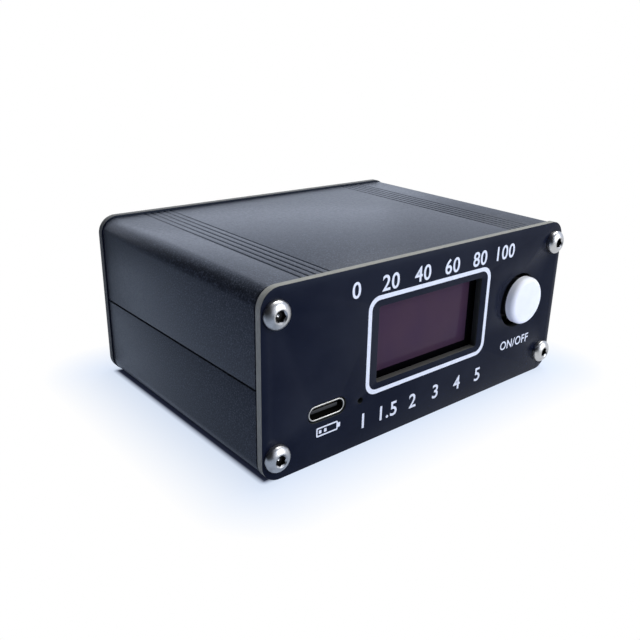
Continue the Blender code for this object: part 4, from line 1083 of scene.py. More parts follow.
@dataclass
class Panels:
    """The front and rear panels, cut from black circuit board."""

    corner_radius: float = 0.0040
    screw_hole: float = 0.00175
    window_margin: float = 0.0008
    window_corner: float = 0.0005
    port_gap: float = 0.0003
    indicator_hole: float = 0.0007
    button_gap: float = 0.0009
    button_hole_shift: Point = (-0.0004, -0.0002)
    boss_gap: float = 0.0003
    edge: float = 0.00007
    edge_zone: float = 0.00125
    sill_area: float = 1e-5
    square_on: float = 0.9
    smooth: float = math.radians(25)
    corner_steps: int = 16
    hole_steps: int = 40

    def build(self, palette: Palette) -> None:
        """Makes both panels.

        Args:
            palette: The finishes.
        """
        # The rear panel's edge, the hole walls and the window's sill take darkened laminate: painted shade.
        finishes = [palette.mask, palette.front_edge, palette.cut_edge, palette.sill_edge]
        self.plate("front_panel", [self.window(), self.port(), *self.round_front()], finishes)
        self.plate("rear_panel", self.round_rear(), [palette.mask, palette.rear_edge, palette.cut_edge])

    def plate(self, node: str, holes: list[list[Point]], finishes: list[Material]) -> None:
        """Makes one panel.

        Args:
            node: The frame's node.
            holes: Outlines of its cut-outs.
            finishes: The finishes of its faces, its outer edge and its holes.
        """
        box = Box.of(node)
        outline = rounded(box.middle, box.size.x, box.size.z, self.corner_radius, self.corner_steps)
        bm = eased(prism([outline, *holes], box.low.y, box.high.y), self.edge, 2)
        for face in bm.faces:
            face.material_index = self.finish_index(face, box)
        settle(piece(f"{node}_plate", bm, finishes, self.smooth), "black_panel", node)

    def finish_index(self, face: bmesh.types.BMFace, box: Box) -> int:
        """Which of a panel's finishes one of its faces takes.

        Args:
            face: The face.
            box: The panel's box.

        Returns:
            0 for the front and rear, 1 for the outer edge, 2 for the holes and 3 for the window's sill; the
            holes and the sill take laminate darkened as painted shade.
        """
        if abs(face.normal.y) > self.square_on:
            return 0
        place = face.calc_center_median() - box.centre
        if min(box.size.x / 2 - abs(place.x), box.size.z / 2 - abs(place.z)) < self.edge_zone:
            return 1
        return 3 if face.normal.z > self.square_on and face.calc_area() > self.sill_area else 2

    def window(self) -> list[Point]:
        """The display's cut-out.

        Returns:
            The points, in order.
        """
        display = Display()
        centre = display.active_centre()
        width = display.active_width + 2 * self.window_margin
        height = display.active_height + 2 * self.window_margin
        return rounded((centre.x, centre.z), width, height, self.window_corner, 6)

    def port(self) -> list[Point]:
        """The charging port's cut-out.

        Returns:
            The points, in order.
        """
        box = Box.of("usb_shell")
        width, height = box.size.x + 2 * self.port_gap, box.size.z + 2 * self.port_gap
        return rounded(box.middle, width, height, height / 2 - WELD, self.corner_steps)

    def round_front(self) -> list[list[Point]]:
        """The front panel's round holes: indicator, button and screws.

        Returns:
            The holes' outlines.
        """
        button = Box.of("button_cap")
        across, up = self.button_hole_shift
        middle = (button.centre.x + across, button.centre.z + up)
        indicator = Box.of("charge_indicator").centre
        holes = [
            circle(middle, button.size.x / 2 + self.button_gap, 2 * self.hole_steps),
            circle((indicator.x, indicator.z), self.indicator_hole, self.hole_steps),
        ]
        return holes + self.screws("front_screw")

    def round_rear(self) -> list[list[Point]]:
        """The rear panel's round holes: sockets and screws.

        Returns:
            The holes' outlines.
        """
        holes = self.screws("rear_screw", "input_flange_screw", "output_flange_screw")
        for name in ("input_socket", "output_socket"):
            centre = Box.of(name).centre
            holes.append(circle((centre.x, centre.z), Sockets().boss + self.boss_gap, 2 * self.hole_steps))
        return holes

    def screws(self, *starts: str) -> list[list[Point]]:
        """One hole for each of the screws whose names start so."""
        centres = [Box.of(node).centre for node in named(*starts)]
        return [circle((centre.x, centre.z), self.screw_hole, self.hole_steps) for centre in centres]


@dataclass
class Print:
    """White screen print on the front panel: the window's frame and generic numbers."""

    film: float = 0.00003
    sunk: float = 0.00002
    frame_width: float = 0.0368
    frame_height: float = 0.0210
    frame_line: float = 0.00092
    frame_radius: float = 0.0028
    frame_tightness: float = 0.8
    frame_steps: int = 12
    upper_height: float = 0.0033
    upper_z: float = 0.03365
    upper_left: float = -0.0268
    upper_right: float = 0.0270
    lower_height: float = 0.0033
    lower_z: float = 0.00525
    lower_left: float = -0.0229
    lower_right: float = 0.0201
    switch_height: float = 0.0022
    switch_z: float = 0.0101
    switch_width: float = 0.0108
    stroke_share: float = 0.018
    spacing: float = 1.08
    battery_z: float = 0.00665
    battery_width: float = 0.0054
    battery_height: float = 0.0020
    battery_line: float = 0.00032
    battery_knob: float = 0.0006
    bar_count: int = 2
    font_size: float = 1.42
    upper_row: str = "0 20 40 60 80 100"
    lower_row: str = "1 1.5 2 3 4 5"
    switch_text: str = "ON/OFF"

    def build(self, palette: Palette) -> None:
        """Makes the whole print as one piece.

        Args:
            palette: The finishes.
        """
        meshes = [
            self.window_frame(),
            *self.row(self.upper_row, (self.upper_left, self.upper_right), self.upper_z, self.upper_height),
            *self.row(self.lower_row, (self.lower_left, self.lower_right), self.lower_z, self.lower_height),
            self.switch_words(),
            *self.battery_mark(),
        ]
        bm = bmesh.new()
        for mesh in meshes:
            bm.from_mesh(mesh)
            bpy.data.meshes.remove(mesh)
        settle(piece("panel_print", bm, [palette.ink]), "white_plastic")

    @property
    def depths(self) -> Point:
        """The Y of the film's front and of its back, sunk into the panel."""
        front = Box.of("front_panel").low.y
        return front - self.film, front + self.sunk

    def film_mesh(self, *outlines: Sequence[Point]) -> Mesh:
        """A flat film of ink with the given outlines.

        Args:
            outlines: The outer outline, then the holes.

        Returns:
            The film.
        """
        bm = prism(outlines, *self.depths)
        mesh = bpy.data.meshes.new("film")
        bm.to_mesh(mesh)
        bm.free()
        return mesh

    def window_frame(self) -> Mesh:
        """The rounded frame round the window.

        Returns:
            The film.
        """
        centre = Display().active_centre()
        middle = (centre.x, centre.z)
        line = self.frame_line
        lines = []
        tighter = self.frame_radius - line * self.frame_tightness
        for inset, radius in ((0, self.frame_radius), (line, tighter)):
            width, height = self.frame_width - 2 * inset, self.frame_height - 2 * inset
            lines.append(rounded(middle, width, height, radius, self.frame_steps))
        return self.film_mesh(*lines)

    def words(self, text: str, centre: Point, height: float, width: float | None = None) -> Mesh:
        """One word as a film of ink.

        Args:
            text: The letters.
            centre: The word's middle in X and Z.
            height: The height of its capitals.
            width: The word's width, or its natural one.

        Returns:
            The mesh, in place.
        """
        curve = bpy.data.curves.new(text, "FONT")
        curve.body = text
        curve.align_x = "CENTER"
        curve.size = height * self.font_size
        curve.offset = height * self.stroke_share
        curve.space_character = self.spacing
        curve.extrude = (self.film + self.sunk) / 2
        holder = bpy.data.objects.new(text, curve)
        bpy.context.scene.collection.objects.link(holder)
        mesh = bpy.data.meshes.new_from_object(holder)
        bpy.data.objects.remove(holder)
        bpy.data.curves.remove(curve)
        ends = [[end(vert.co[axis] for vert in mesh.vertices) for axis in range(3)] for end in (min, max)]
        box = Box(*(Vector(corner) for corner in ends))
        tall = height / box.size.y
        wide = width / box.size.x if width else tall
        upright = Matrix.Rotation(math.pi / 2, 4, "X") @ Matrix.Diagonal((wide, tall, 1, 1))
        place = Vector((centre[0], sum(self.depths) / 2, centre[1]))
        mesh.transform(Matrix.Translation(place) @ upright @ Matrix.Translation(-box.centre))
        mesh.materials.clear()
        return mesh

    def row(self, text: str, ends: Point, z: float, height: float) -> list[Mesh]:
        """A row of numbers, spread evenly from left to right.

        Args:
            text: The numbers, with spaces between.
            ends: The row's left and right end.
            z: The height of its middle.
            height: The numbers' height.

        Returns:
            One film for each number.
        """
        numbers = text.split()
        pitch = (ends[1] - ends[0]) / len(numbers)
        centres = [(ends[0] + (index + 0.5) * pitch, z) for index in range(len(numbers))]
        return [self.words(number, centre, height) for number, centre in zip(numbers, centres)]

    def switch_words(self) -> Mesh:
        """The words under the push button."""
        centre = (Box.of("button_cap").centre.x, self.switch_z)
        return self.words(self.switch_text, centre, self.switch_height, self.switch_width)

    def battery_mark(self) -> list[Mesh]:
        """A small battery under the charging port.

        Returns:
            The films of its case, its knob and its bars.
        """
        x, z = Box.of("usb_shell").centre.x, self.battery_z
        line, width, height = self.battery_line, self.battery_width, self.battery_height
        case = rounded((x, z), width, height, line, 4)
        room = rounded((x, z), width - 2 * line, height - 2 * line, line / 3, 2)
        knob_x = x + (width + self.battery_knob) / 2
        shapes = [rounded((knob_x, z), self.battery_knob, height / 2, line / 3, 2)]
        for index in range(self.bar_count):
            bar_x = x - width / 2 + line * (3 + 4 * index)
            shapes.append(rounded((bar_x, z), line * 2, height - line * 4, line / 4, 2))
        return [self.film_mesh(case, room), *(self.film_mesh(shape) for shape in shapes)]


@dataclass
class Fasteners:
    """Button-head screws with hexagon sockets, in the panels and the sockets' flanges."""

    head_radius: float = 0.00275
    head_height: float = 0.00145
    seat_gap: float = 0.00028
    rim: float = 0.00022
    dome_height: float = 0.00146
    shank_radius: float = 0.00145
    shank_length: float = 0.0080
    hex_flats: float = 0.0020
    hex_depth: float = 0.0010
    chamfer: float = 0.00016
    cone_depth: float = 1.5
    steps: int = 48
    rings: int = 40
    seed: int = 7

    def build(self, palette: Palette) -> None:
        """Makes the screws, one piece for each set of like places.

        Args:
            palette: The finishes.
        """
        sets = {
            "front_screws": (("front_screw",), 0.0),
            "rear_screws": (("rear_screw",), math.pi),
            "flange_screws": (("input_flange_screw", "output_flange_screw"), math.pi),
        }
        for name, (starts, turn) in sets.items():
            nodes = named(*starts)
            seats = [self.seat(node, turn) for node in nodes]
            settle(self.screws(name, seats, turn, palette), "bright_steel", *nodes)

    def seat(self, node: str, turn: float) -> Vector:
        """The middle of a head's underside, down on the panel.

        Args:
            node: The screw's node.
            turn: The turn about Z that points the heads forward or back.

        Returns:
            The point.
        """
        box = Box.of(node)
        height = self.head_height + self.seat_gap
        y = box.high.y - height if turn else box.low.y + height
        return Vector((box.centre.x, y, box.centre.z))

    def screws(self, name: str, seats: list[Vector], turn: float, palette: Palette) -> Object:
        """Builds one screw by nodes and sets a copy on each seat, each turned a little differently.

        Args:
            name: The piece's name.
            seats: The heads' seats.
            turn: The turn about Z that points the heads forward or back.
            palette: The finishes.

        Returns:
            All the screws as one mesh.
        """
        sizes = {
            "Head Radius": self.head_radius,
            "Head Height": self.head_height + self.seat_gap,
            "Rim": self.rim + self.seat_gap,
            "Dome Height": self.dome_height,
            "Shank Radius": self.shank_radius,
            "Shank Length": self.shank_length - self.seat_gap,
            "Hex Radius": self.hex_flats / math.sqrt(3),
            "Hex Depth": self.hex_depth,
            "Chamfer": self.chamfer,
            "Steps": self.steps,
            "Rings": self.rings,
            "Seed": self.seed,
            "Turn": turn,
        }
        recipe = Recipe("button_head_screw", sizes)
        given = recipe.given
        body = recipe.mixed("UNION", self.head(recipe), self.shank(recipe))
        pocket = recipe.marked(self.hexagon(recipe))
        body = recipe.mixed("DIFFERENCE", body, pocket, self.countersink(recipe))
        facing = recipe.moved(body, ORIGIN, (math.pi / 2, 0, 0))
        inputs = {3: math.pi / 3, "Seed": given["Seed"]}
        spin = recipe.node("FunctionNodeRandomValue", inputs, data_type="FLOAT").outputs[1]
        rotation = recipe.vector(y=spin, z=given["Turn"])
        inputs = {"Points": given["Geometry"], "Instance": facing, "Rotation": rotation}
        placed = recipe.out("GeometryNodeInstanceOnPoints", inputs)
        # The pocket's cut faces take the near-black pocket finish: painted shade in the hex socket.
        return recipe.run(name, seats, placed, palette.steel, palette.pocket)

    def head(self, recipe: Recipe) -> Socket:
        """The head: a ball pressed flat below, with its crown cut level.

        Args:
            recipe: The tree to add to.

        Returns:
            The solid.
        """
        given = recipe.given
        inputs = {"Segments": given["Steps"], "Rings": given["Rings"]}
        ball = recipe.out("GeometryNodeMeshUVSphere", inputs)
        spot = recipe.out("GeometryNodeInputPosition")
        place = recipe.node("ShaderNodeSeparateXYZ", {0: spot}).outputs
        rise = recipe.maths("MULTIPLY", recipe.maths("MAXIMUM", place[2], 0.0), given["Dome Height"])
        lift = recipe.maths("MULTIPLY", recipe.maths("GREATER_THAN", place[2], WELD), given["Rim"])
        height = recipe.maths("MINIMUM", recipe.maths("ADD", rise, lift), given["Head Height"])
        across = [recipe.maths("MULTIPLY", place[axis], given["Head Radius"]) for axis in (0, 1)]
        inputs = {"Geometry": ball, "Position": recipe.vector(*across, height)}
        return recipe.out("GeometryNodeSetPosition", inputs)

    def shank(self, recipe: Recipe) -> Socket:
        """The plain shank, from inside the head down to its tip.

        Args:
            recipe: The tree to add to.

        Returns:
            The solid.
        """
        given = recipe.given
        length = recipe.maths("ADD", given["Shank Length"], given["Rim"])
        inputs = {"Vertices": given["Steps"], "Radius": given["Shank Radius"], "Depth": length}
        rod = recipe.out("GeometryNodeMeshCylinder", inputs)
        drop = recipe.maths("MULTIPLY", recipe.maths("SUBTRACT", given["Rim"], given["Shank Length"]), 0.5)
        return recipe.moved(rod, recipe.vector(z=drop))

    def hexagon(self, recipe: Recipe) -> Socket:
        """The six-sided pocket that the key goes into.

        Args:
            recipe: The tree to add to.

        Returns:
            The solid.
        """
        given = recipe.given
        depth = recipe.maths("MULTIPLY", given["Hex Depth"], 2.0)
        inputs = {"Vertices": 6, "Radius": given["Hex Radius"], "Depth": depth}
        bar = recipe.out("GeometryNodeMeshCylinder", inputs)
        return recipe.moved(bar, recipe.vector(z=given["Head Height"]))

    def countersink(self, recipe: Recipe) -> Socket:
        """The cone that breaks the pocket's edge and marks its drilled bottom.

        Args:
            recipe: The tree to add to.

        Returns:
            The solid.
        """
        given = recipe.given
        mouth = recipe.maths("ADD", given["Hex Radius"], given["Chamfer"])
        depth = recipe.maths("MULTIPLY", mouth, self.cone_depth)
        inputs = {"Vertices": given["Steps"], "Radius Top": depth, "Radius Bottom": 0.0, "Depth": depth}
        cone = recipe.out("GeometryNodeMeshCone", inputs)
        return recipe.moved(cone, recipe.vector(z=recipe.maths("SUBTRACT", given["Head Height"], mouth)))


@dataclass
class Display:
    """The display's glass, with the size and place of its lit area."""

    active_width: float = 0.02942
    active_height: float = 0.0147
    active_top_margin: float = 0.0021
    corner_radius: float = 0.0004
    edge: float = 0.00012

    def active_centre(self) -> Vector:
        """The middle of the lit area, on the glass's front face.

        Returns:
            The point.
        """
        glass = Box.of("display_glass")
        z = glass.high.z - self.active_top_margin - self.active_height / 2
        return Vector((glass.centre.x, glass.low.y, z))

    def build(self, palette: Palette) -> None:
        """Makes the glass.

        Args:
            palette: The finishes.
        """
        glass = Box.of("display_glass")
        outline = rounded((glass.centre.x, glass.centre.z), glass.size.x, glass.size.z, self.corner_radius, 4)
        bm = eased(prism([outline], glass.low.y, glass.high.y), self.edge)
        settle(piece("display_pane", bm, [palette.glass]), "display_glass", "display_glass")


@dataclass
class Button:
    """The round push button."""

    edge_radius: float = 0.0011
    wall: float = 0.0013
    neck: float = 0.0009
    lift: float = 0.0003
    crown: float = 0.00012
    steps: int = 96
    edge_steps: int = 9
    crown_steps: int = 6

    def build(self, palette: Palette) -> None:
        """Makes the hollow cap: white in front of the brim, with black plastic on its neck in the panel's
        hole as painted shade.

        Args:
            palette: The finishes.
        """
        cap = Box.of("button_cap")
        brim = Box.of("front_panel").low.y - self.lift
        radius = cap.size.x / 2
        front = cap.low.y
        start = radius - self.edge_radius
        profile = []
        for step in range(self.crown_steps):
            share = step / self.crown_steps
            profile.append((start * share, front + self.crown * share**2))
        corner = (start, front + self.crown + self.edge_radius)
        profile += arc(corner, self.edge_radius, -math.pi / 2, 0, self.edge_steps)
        rear = cap.high.y
        neck = radius - self.neck
        inner = neck - self.wall
        ceiling = front + self.wall
        profile += [(radius, brim), (neck, brim), (neck, rear), (inner, rear), (inner, ceiling), (0, ceiling)]
        bm = lathe(profile, cap.centre, self.steps)
        # Faces behind the brim take black plastic: painted shade in the gap round the cap.
        for face in bm.faces:
            face.material_index = int(face.calc_center_median().y > brim - WELD)
        made = piece("push_button", bm, [palette.button, palette.black])
        settle(made, "white_plastic", "button_cap", body=Body.BUTTON)


@dataclass
class Port:
    """The charging port: a rolled metal shell with a contact tongue inside."""

    wall: float = 0.0003
    edge: float = 0.00009
    corner_steps: int = 16
    block_length: float = 0.0018
    block_gap: float = 0.0003
    tongue_width: float = 0.0066
    tongue_height: float = 0.0007
    tongue_edge: float = 0.00022
    tongue_set_back: float = 0.0008
    pad_count: int = 12
    pad_pitch: float = 0.0005
    pad_width: float = 0.00026
    pad_length: float = 0.0034
    pad_set_back: float = 0.0005
    pad_rise: float = 0.00004

    def build(self, palette: Palette) -> None:
        """Makes the shell, the tongue and its contact pads.

        Args:
            palette: The finishes.
        """
        box = Box.of("usb_shell")
        outer = self.slot(box.size.x, box.size.z, box.centre)
        inner = self.slot(box.size.x - 2 * self.wall, box.size.z - 2 * self.wall, box.centre)
        shell = eased(prism([outer, inner], box.low.y, box.high.y), self.edge, 3)
        # The inner wall behind the rim takes the near-black pocket finish: painted shade inside the shell.
        for face in shell.faces:
            face.material_index = int(self.inside(face, box))
        settle(piece("port_shell", shell, [palette.port, palette.pocket]), "nickel", "usb_shell")
        settle(self.tongue(box, palette), "black_plastic", "usb_tongue")
        settle(self.pads(box, palette), "contact_gold")

    def inside(self, face: bmesh.types.BMFace, box: Box) -> bool:
        """Whether a face of the shell is on its inner wall, behind the rim.

        Args:
            face: The face.
            box: The shell's box.

        Returns:
            True for the inner wall.
        """
        place = face.calc_center_median() - box.centre
        beside = max(abs(place.x) - (box.size.x - box.size.z) / 2, 0)
        within = math.hypot(beside, place.z) < box.size.z / 2 - self.wall + self.edge / 2
        return within and place.y > self.edge - box.size.y / 2

    def slot(self, width: float, height: float, centre: Vector) -> list[Point]:
        """An outline with half-round ends."""
        return rounded((centre.x, centre.z), width, height, height / 2 - WELD, self.corner_steps)

    def tongue(self, box: Box, palette: Palette) -> Object:
        """The insulating block and the tongue that reaches forward from it.

        Args:
            box: The port shell's box.
            palette: The finishes.

        Returns:
            The piece.
        """
        gap = 2 * (self.wall + self.block_gap)
        block = self.slot(box.size.x - gap, box.size.z - gap, box.centre)
        bm = prism([block], box.high.y - self.block_length, box.high.y)
        middle = box.middle
        reach = rounded(middle, self.tongue_width, self.tongue_height, self.tongue_edge, 4)
        front = box.low.y + self.tongue_set_back
        bar = eased(prism([reach], front, box.high.y - self.block_length / 2), self.tongue_edge / 2)
        mesh = bpy.data.meshes.new("tongue_bar")
        bar.to_mesh(mesh)
        bar.free()
        bm.from_mesh(mesh)
        bpy.data.meshes.remove(mesh)
        return piece("port_tongue", bm, [palette.black])

    def pads(self, box: Box, palette: Palette) -> Object:
        """The rows of gold contact pads above and below the tongue.

        Args:
            box: The port shell's box.
            palette: The finishes.

        Returns:
            The piece.
        """
        sizes = {
            "Count": self.pad_count,
            "Pitch": self.pad_pitch,
            "Width": self.pad_width,
            "Length": self.pad_length,
            "Thickness": 2 * self.pad_rise,
        }
        recipe = Recipe("contact_pads", sizes)
        given = recipe.given
        size = recipe.vector(given["Width"], given["Length"], given["Thickness"])
        pad = recipe.out("GeometryNodeMeshCube", {"Size": size})
        offset = recipe.vector(given["Pitch"])
        row = recipe.out("GeometryNodeMeshLine", {"Count": given["Count"], "Offset": offset})
        placed = recipe.out("GeometryNodeInstanceOnPoints", {"Points": row, "Instance": pad})
        inputs = {"Points": given["Geometry"], "Instance": placed}
        rows = recipe.out("GeometryNodeInstanceOnPoints", inputs)
        first = box.centre.x - (self.pad_count - 1) / 2 * self.pad_pitch
        y = box.low.y + self.tongue_set_back + self.pad_set_back + self.pad_length / 2
        starts = [Vector((first, y, box.centre.z + side * self.tongue_height / 2)) for side in (-1, 1)]
        return recipe.run("port_contact_pads", starts, rows, palette.gold)


@dataclass
class Sockets:
    """The two coaxial sockets on the rear panel, with threaded barrels."""

    flange_thickness: float = 0.0020
    flange_corner: float = 0.0012
    flange_edge: float = 0.00025
    hole: float = 0.00175
    boss: float = 0.0060
    boss_bore: float = 0.0045
    boss_length: float = 0.0045
    barrel_bore: float = 0.0064
    core: float = 0.00738
    neck: float = 0.0077
    neck_length: float = 0.0014
    edge: float = 0.0002
    chamfer: float = 0.0005
    thread_pitch: float = 0.001058
    thread_height: float = 0.00056
    thread_end: float = 0.0013
    thread_steps: int = 56
    thread_fade: float = 24.0
    thread_tip: float = 0.02
    thread_share: float = 0.47
    notch_width: float = 0.0018
    notch_depth: float = 0.0010
    face_ring: float = 0.0004
    slit_width: float = 0.00032
    slit_depth: float = 0.0034
    contact_edge: float = 0.00022
    contact_bore: float = 0.0020
    contact_bore_depth: float = 0.0110
    steps: int = 96

    def build(self, palette: Palette) -> None:
        """Makes both sockets.

        Args:
            palette: The finishes.
        """
        starts = []
        for name in ("input", "output"):
            box = Box.of(f"{name}_socket")
            metal = TurnedNickel(f"{name}_nickel", box.centre).material()
            settle(self.body(name, box, metal), "nickel", f"{name}_socket")
            settle(self.insulator(name, palette), "insulator_white", f"{name}_insulator")
            settle(self.contact(name, palette), "contact_gold", f"{name}_contact")
            starts.append(Vector((box.centre.x, box.low.y + self.thread_start(), box.centre.z)))
        length = box.size.y - self.thread_start() - self.thread_end
        settle(self.threads(starts, length, palette), "nickel")

    def thread_start(self) -> float:
        """How far the thread's start lies behind the boss's front end."""
        return self.boss_length + self.flange_thickness + self.neck_length

    def body(self, name: str, box: Box, metal: Material) -> Object:
        """The flange and the barrel with its notched rim.

        Args:
            name: The socket's name.
            box: Its box.
            metal: Its finish.

        Returns:
            The piece.
        """
        front = box.low.y + self.boss_length
        rear = front + self.flange_thickness
        middle = box.middle
        screws = [Box.of(f"{name}_flange_screw_{index}").centre for index in range(1, 5)]
        holes = [circle((centre.x, centre.z), self.hole, self.steps // 3) for centre in screws]
        square = rounded(middle, box.size.x, box.size.z, self.flange_corner, 8)
        centre_hole = circle(middle, (self.boss + self.boss_bore) / 2, self.steps)
        flange = eased(prism([square, centre_hole, *holes], front, rear), self.flange_edge)
        turned = lathe(self.profile(box, front, rear), box.centre, self.steps, True)
        barrel = piece(f"{name}_barrel", turned, [metal])
        notched = self.crossed(barrel, self.notch_width, self.notch_depth, box)
        flange.from_mesh(notched.data)
        bpy.data.objects.remove(notched)
        return piece(f"{name}_socket_body", flange, [metal])

    def profile(self, box: Box, front: float, rear: float) -> list[Point]:
        """Half section of the boss, the neck and the thread's core.

        Args:
            box: The socket's box.
            front: The Y of the flange's front face.
            rear: The Y of its rear face.

        Returns:
            The points, in order.
        """
        rim = box.high.y
        neck_end = rear + self.neck_length
        return [
            (self.boss_bore, box.low.y),
            (self.boss, box.low.y),
            (self.boss, front + self.flange_thickness / 2),
            (self.neck, front + self.flange_thickness / 2),
            (self.neck, neck_end - self.edge),
            (self.core, neck_end + self.edge / 2),
            (self.core, rim - self.chamfer),
            (self.core - self.chamfer / 2, rim - self.edge / 4),
            (self.core - self.chamfer, rim),
            (self.barrel_bore + self.edge, rim),
            (self.barrel_bore, rim - self.edge),
            (self.barrel_bore, rear),
            (self.boss_bore, rear),
        ]

    def crossed(self, made: Object, width: float, depth: float, box: Box) -> Object:
        """Cuts a cross into a turned piece's rim.

        Args:
            made: The piece.
            width: The width of each arm.
            depth: How deep the cross goes.
            box: The piece's box, with the rim at its rear.

        Returns:
            The piece, cut.
        """
        reach, rim = box.size.x, box.high.y
        for size in ((reach, width), (width, reach)):
            outline = rounded(box.middle, *size, width / 8, 2)
            cutter = piece("cross_cutter", prism([outline], rim - depth, rim + depth), [])
            step = made.modifiers.new("cross", "BOOLEAN")
            step.object = cutter
            step.solver = "EXACT"
            graph = bpy.context.evaluated_depsgraph_get()
            mesh = bpy.data.meshes.new_from_object(made.evaluated_get(graph))
            made.modifiers.remove(step)
            made.data = mesh
            bpy.data.objects.remove(cutter)
        return made

    def threads(self, starts: list[Vector], length: float, palette: Palette) -> Object:
        """Winds one ridge round each barrel, fading out at both ends.

        Args:
            starts: Where each thread starts, on the socket's axis.
            length: The thread's length along the axis.
            palette: The finishes.

        Returns:
            Both threads as one mesh.
        """
        sizes = {
            "Radius": self.core,
            "Pitch": self.thread_pitch,
            "Ridge Height": self.thread_height,
            "Length": length,
            "Steps": self.thread_steps,
        }
        recipe = Recipe("threads", sizes)
        given = recipe.given
        inputs = {
            "Resolution": given["Steps"],
            "Rotations": recipe.maths("DIVIDE", given["Length"], given["Pitch"]),
            "Start Radius": given["Radius"],
            "End Radius": given["Radius"],
            "Height": given["Length"],
        }
        spiral = recipe.out("GeometryNodeCurveSpiral", inputs)
        upright = recipe.out("GeometryNodeSetCurveNormal", {"Curve": spiral}, mode="Z_UP")
        share = recipe.node("GeometryNodeSplineParameter").outputs["Factor"]
        nearer = recipe.maths("MINIMUM", share, recipe.maths("SUBTRACT", 1.0, share))
        edge = recipe.maths("ADD", recipe.maths("MULTIPLY", nearer, self.thread_fade), self.thread_tip)
        inputs = {"Curve": upright, "Radius": recipe.maths("MINIMUM", edge, 1.0)}
        faded = recipe.out("GeometryNodeSetCurveRadius", inputs)
        diamond = recipe.out("GeometryNodeCurvePrimitiveCircle", {"Resolution": 4, "Radius": 1.0})
        half = recipe.maths("MULTIPLY", given["Pitch"], self.thread_share)
        inputs = {"Geometry": diamond, "Scale": recipe.vector(given["Ridge Height"], half, 1.0)}
        flat = recipe.out("GeometryNodeTransform", inputs)
        inputs = {"Curve": faded, "Profile Curve": flat, "Fill Caps": True}
        ridge = recipe.out("GeometryNodeCurveToMesh", inputs)
        lying = recipe.moved(ridge, ORIGIN, (-math.pi / 2, 0, 0))
        inputs = {"Points": given["Geometry"], "Instance": lying}
        placed = recipe.out("GeometryNodeInstanceOnPoints", inputs)
        return recipe.run("socket_threads", starts, placed, palette.thread)

    def insulator(self, name: str, palette: Palette) -> Object:
        """The insulating filling, with a raised ring on its face.

        Args:
            name: The socket's name.
            palette: The finishes.

        Returns:
            The piece.
        """
        box = Box.of(f"{name}_insulator")
        contact = Box.of(f"{name}_contact")
        outer = box.size.x / 2
        hole = contact.size.x / 2 + self.face_ring / 2
        face = box.high.y
        profile = [
            (hole, box.low.y),
            (self.boss_bore - self.face_ring, box.low.y),
            (self.boss_bore - self.face_ring, box.low.y + self.boss_length + self.flange_thickness),
            (outer, box.low.y + self.boss_length + self.flange_thickness + self.face_ring * 2),
            (outer, face - self.face_ring * 1.5),
            (outer - self.face_ring / 3, face - self.face_ring),
            (hole + self.face_ring * 3, face - self.face_ring),
            (hole + self.face_ring * 2.5, face),
            (hole, face),
        ]
        return piece(f"{name}_filling", lathe(profile, box.centre, self.steps, True), [palette.insulator])

    def contact(self, name: str, palette: Palette) -> Object:
        """The centre contact: a slit sleeve with a solder tail.

        Args:
            name: The socket's name.
            palette: The finishes.

        Returns:
            The piece.
        """
        box = Box.of(f"{name}_contact")
        outer = box.size.x / 2
        edge = self.contact_edge
        front = box.high.y
        floor = front - self.contact_bore_depth
        profile = [
            (0, floor),
            (self.contact_bore, floor),
            (self.contact_bore, front - edge),
            (self.contact_bore + edge, front),
            (outer - edge, front),
            (outer, front - edge),
            (outer, floor - edge),
            (outer / 2, floor - edge),
            (outer / 2, box.low.y),
            (0, box.low.y),
        ]
        sleeve = piece(f"{name}_centre_contact", lathe(profile, box.centre, self.steps // 2), [palette.gold])
        cut = self.crossed(sleeve, self.slit_width, self.slit_depth, box)
        cut.data.set_sharp_from_angle(angle=SHARP)
        return cut


@dataclass
class Interior:
    """What the case holds: the frame's own solids, given their finishes."""

    def build(self, palette: Palette) -> None:
        """Dresses each inner node of the frame.

        Args:
            palette: The finishes.
        """
        finishes = {
            "display_board": palette.upright_board,
            "front_board": palette.upright_board,
            "main_board": palette.flat_board,
            "current_winding": palette.copper,
            "voltage_winding": palette.copper,
            "through_line": palette.copper,
            "current_core": palette.ferrite,
            "voltage_core": palette.ferrite,
            "battery": palette.foil,
            "battery_plug": palette.insulator,
            "battery_lead_plus": palette.red,
            "charge_indicator": palette.indicator,
        }
        for name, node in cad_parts.items():
            if node.hide_render:
                continue
            chosen = palette.steel if "nut" in name else finishes.get(name, palette.black)
            node.data.materials.clear()
            node.data.materials.append(chosen)
            log.info("%s: %s", name, chosen.name)


@dataclass(frozen=True)
class Lamp:
    """A square soft lamp that points at the meter."""

    name: str
    place: tuple[float, float, float]
    side: float
    power: float
    colour: Colour

    def hang(self) -> None:
        """Adds the lamp to the scene."""
        light = bpy.data.lights.new(self.name, "AREA")
        light.size = self.side
        light.energy = self.power
        light.color = self.colour
        made = bpy.data.objects.new(self.name, light)
        made.location = self.place
        made.rotation_euler = (-Vector(self.place)).to_track_quat("-Z", "Y").to_euler()
        made.visible_camera = False
        bpy.context.scene.collection.objects.link(made)


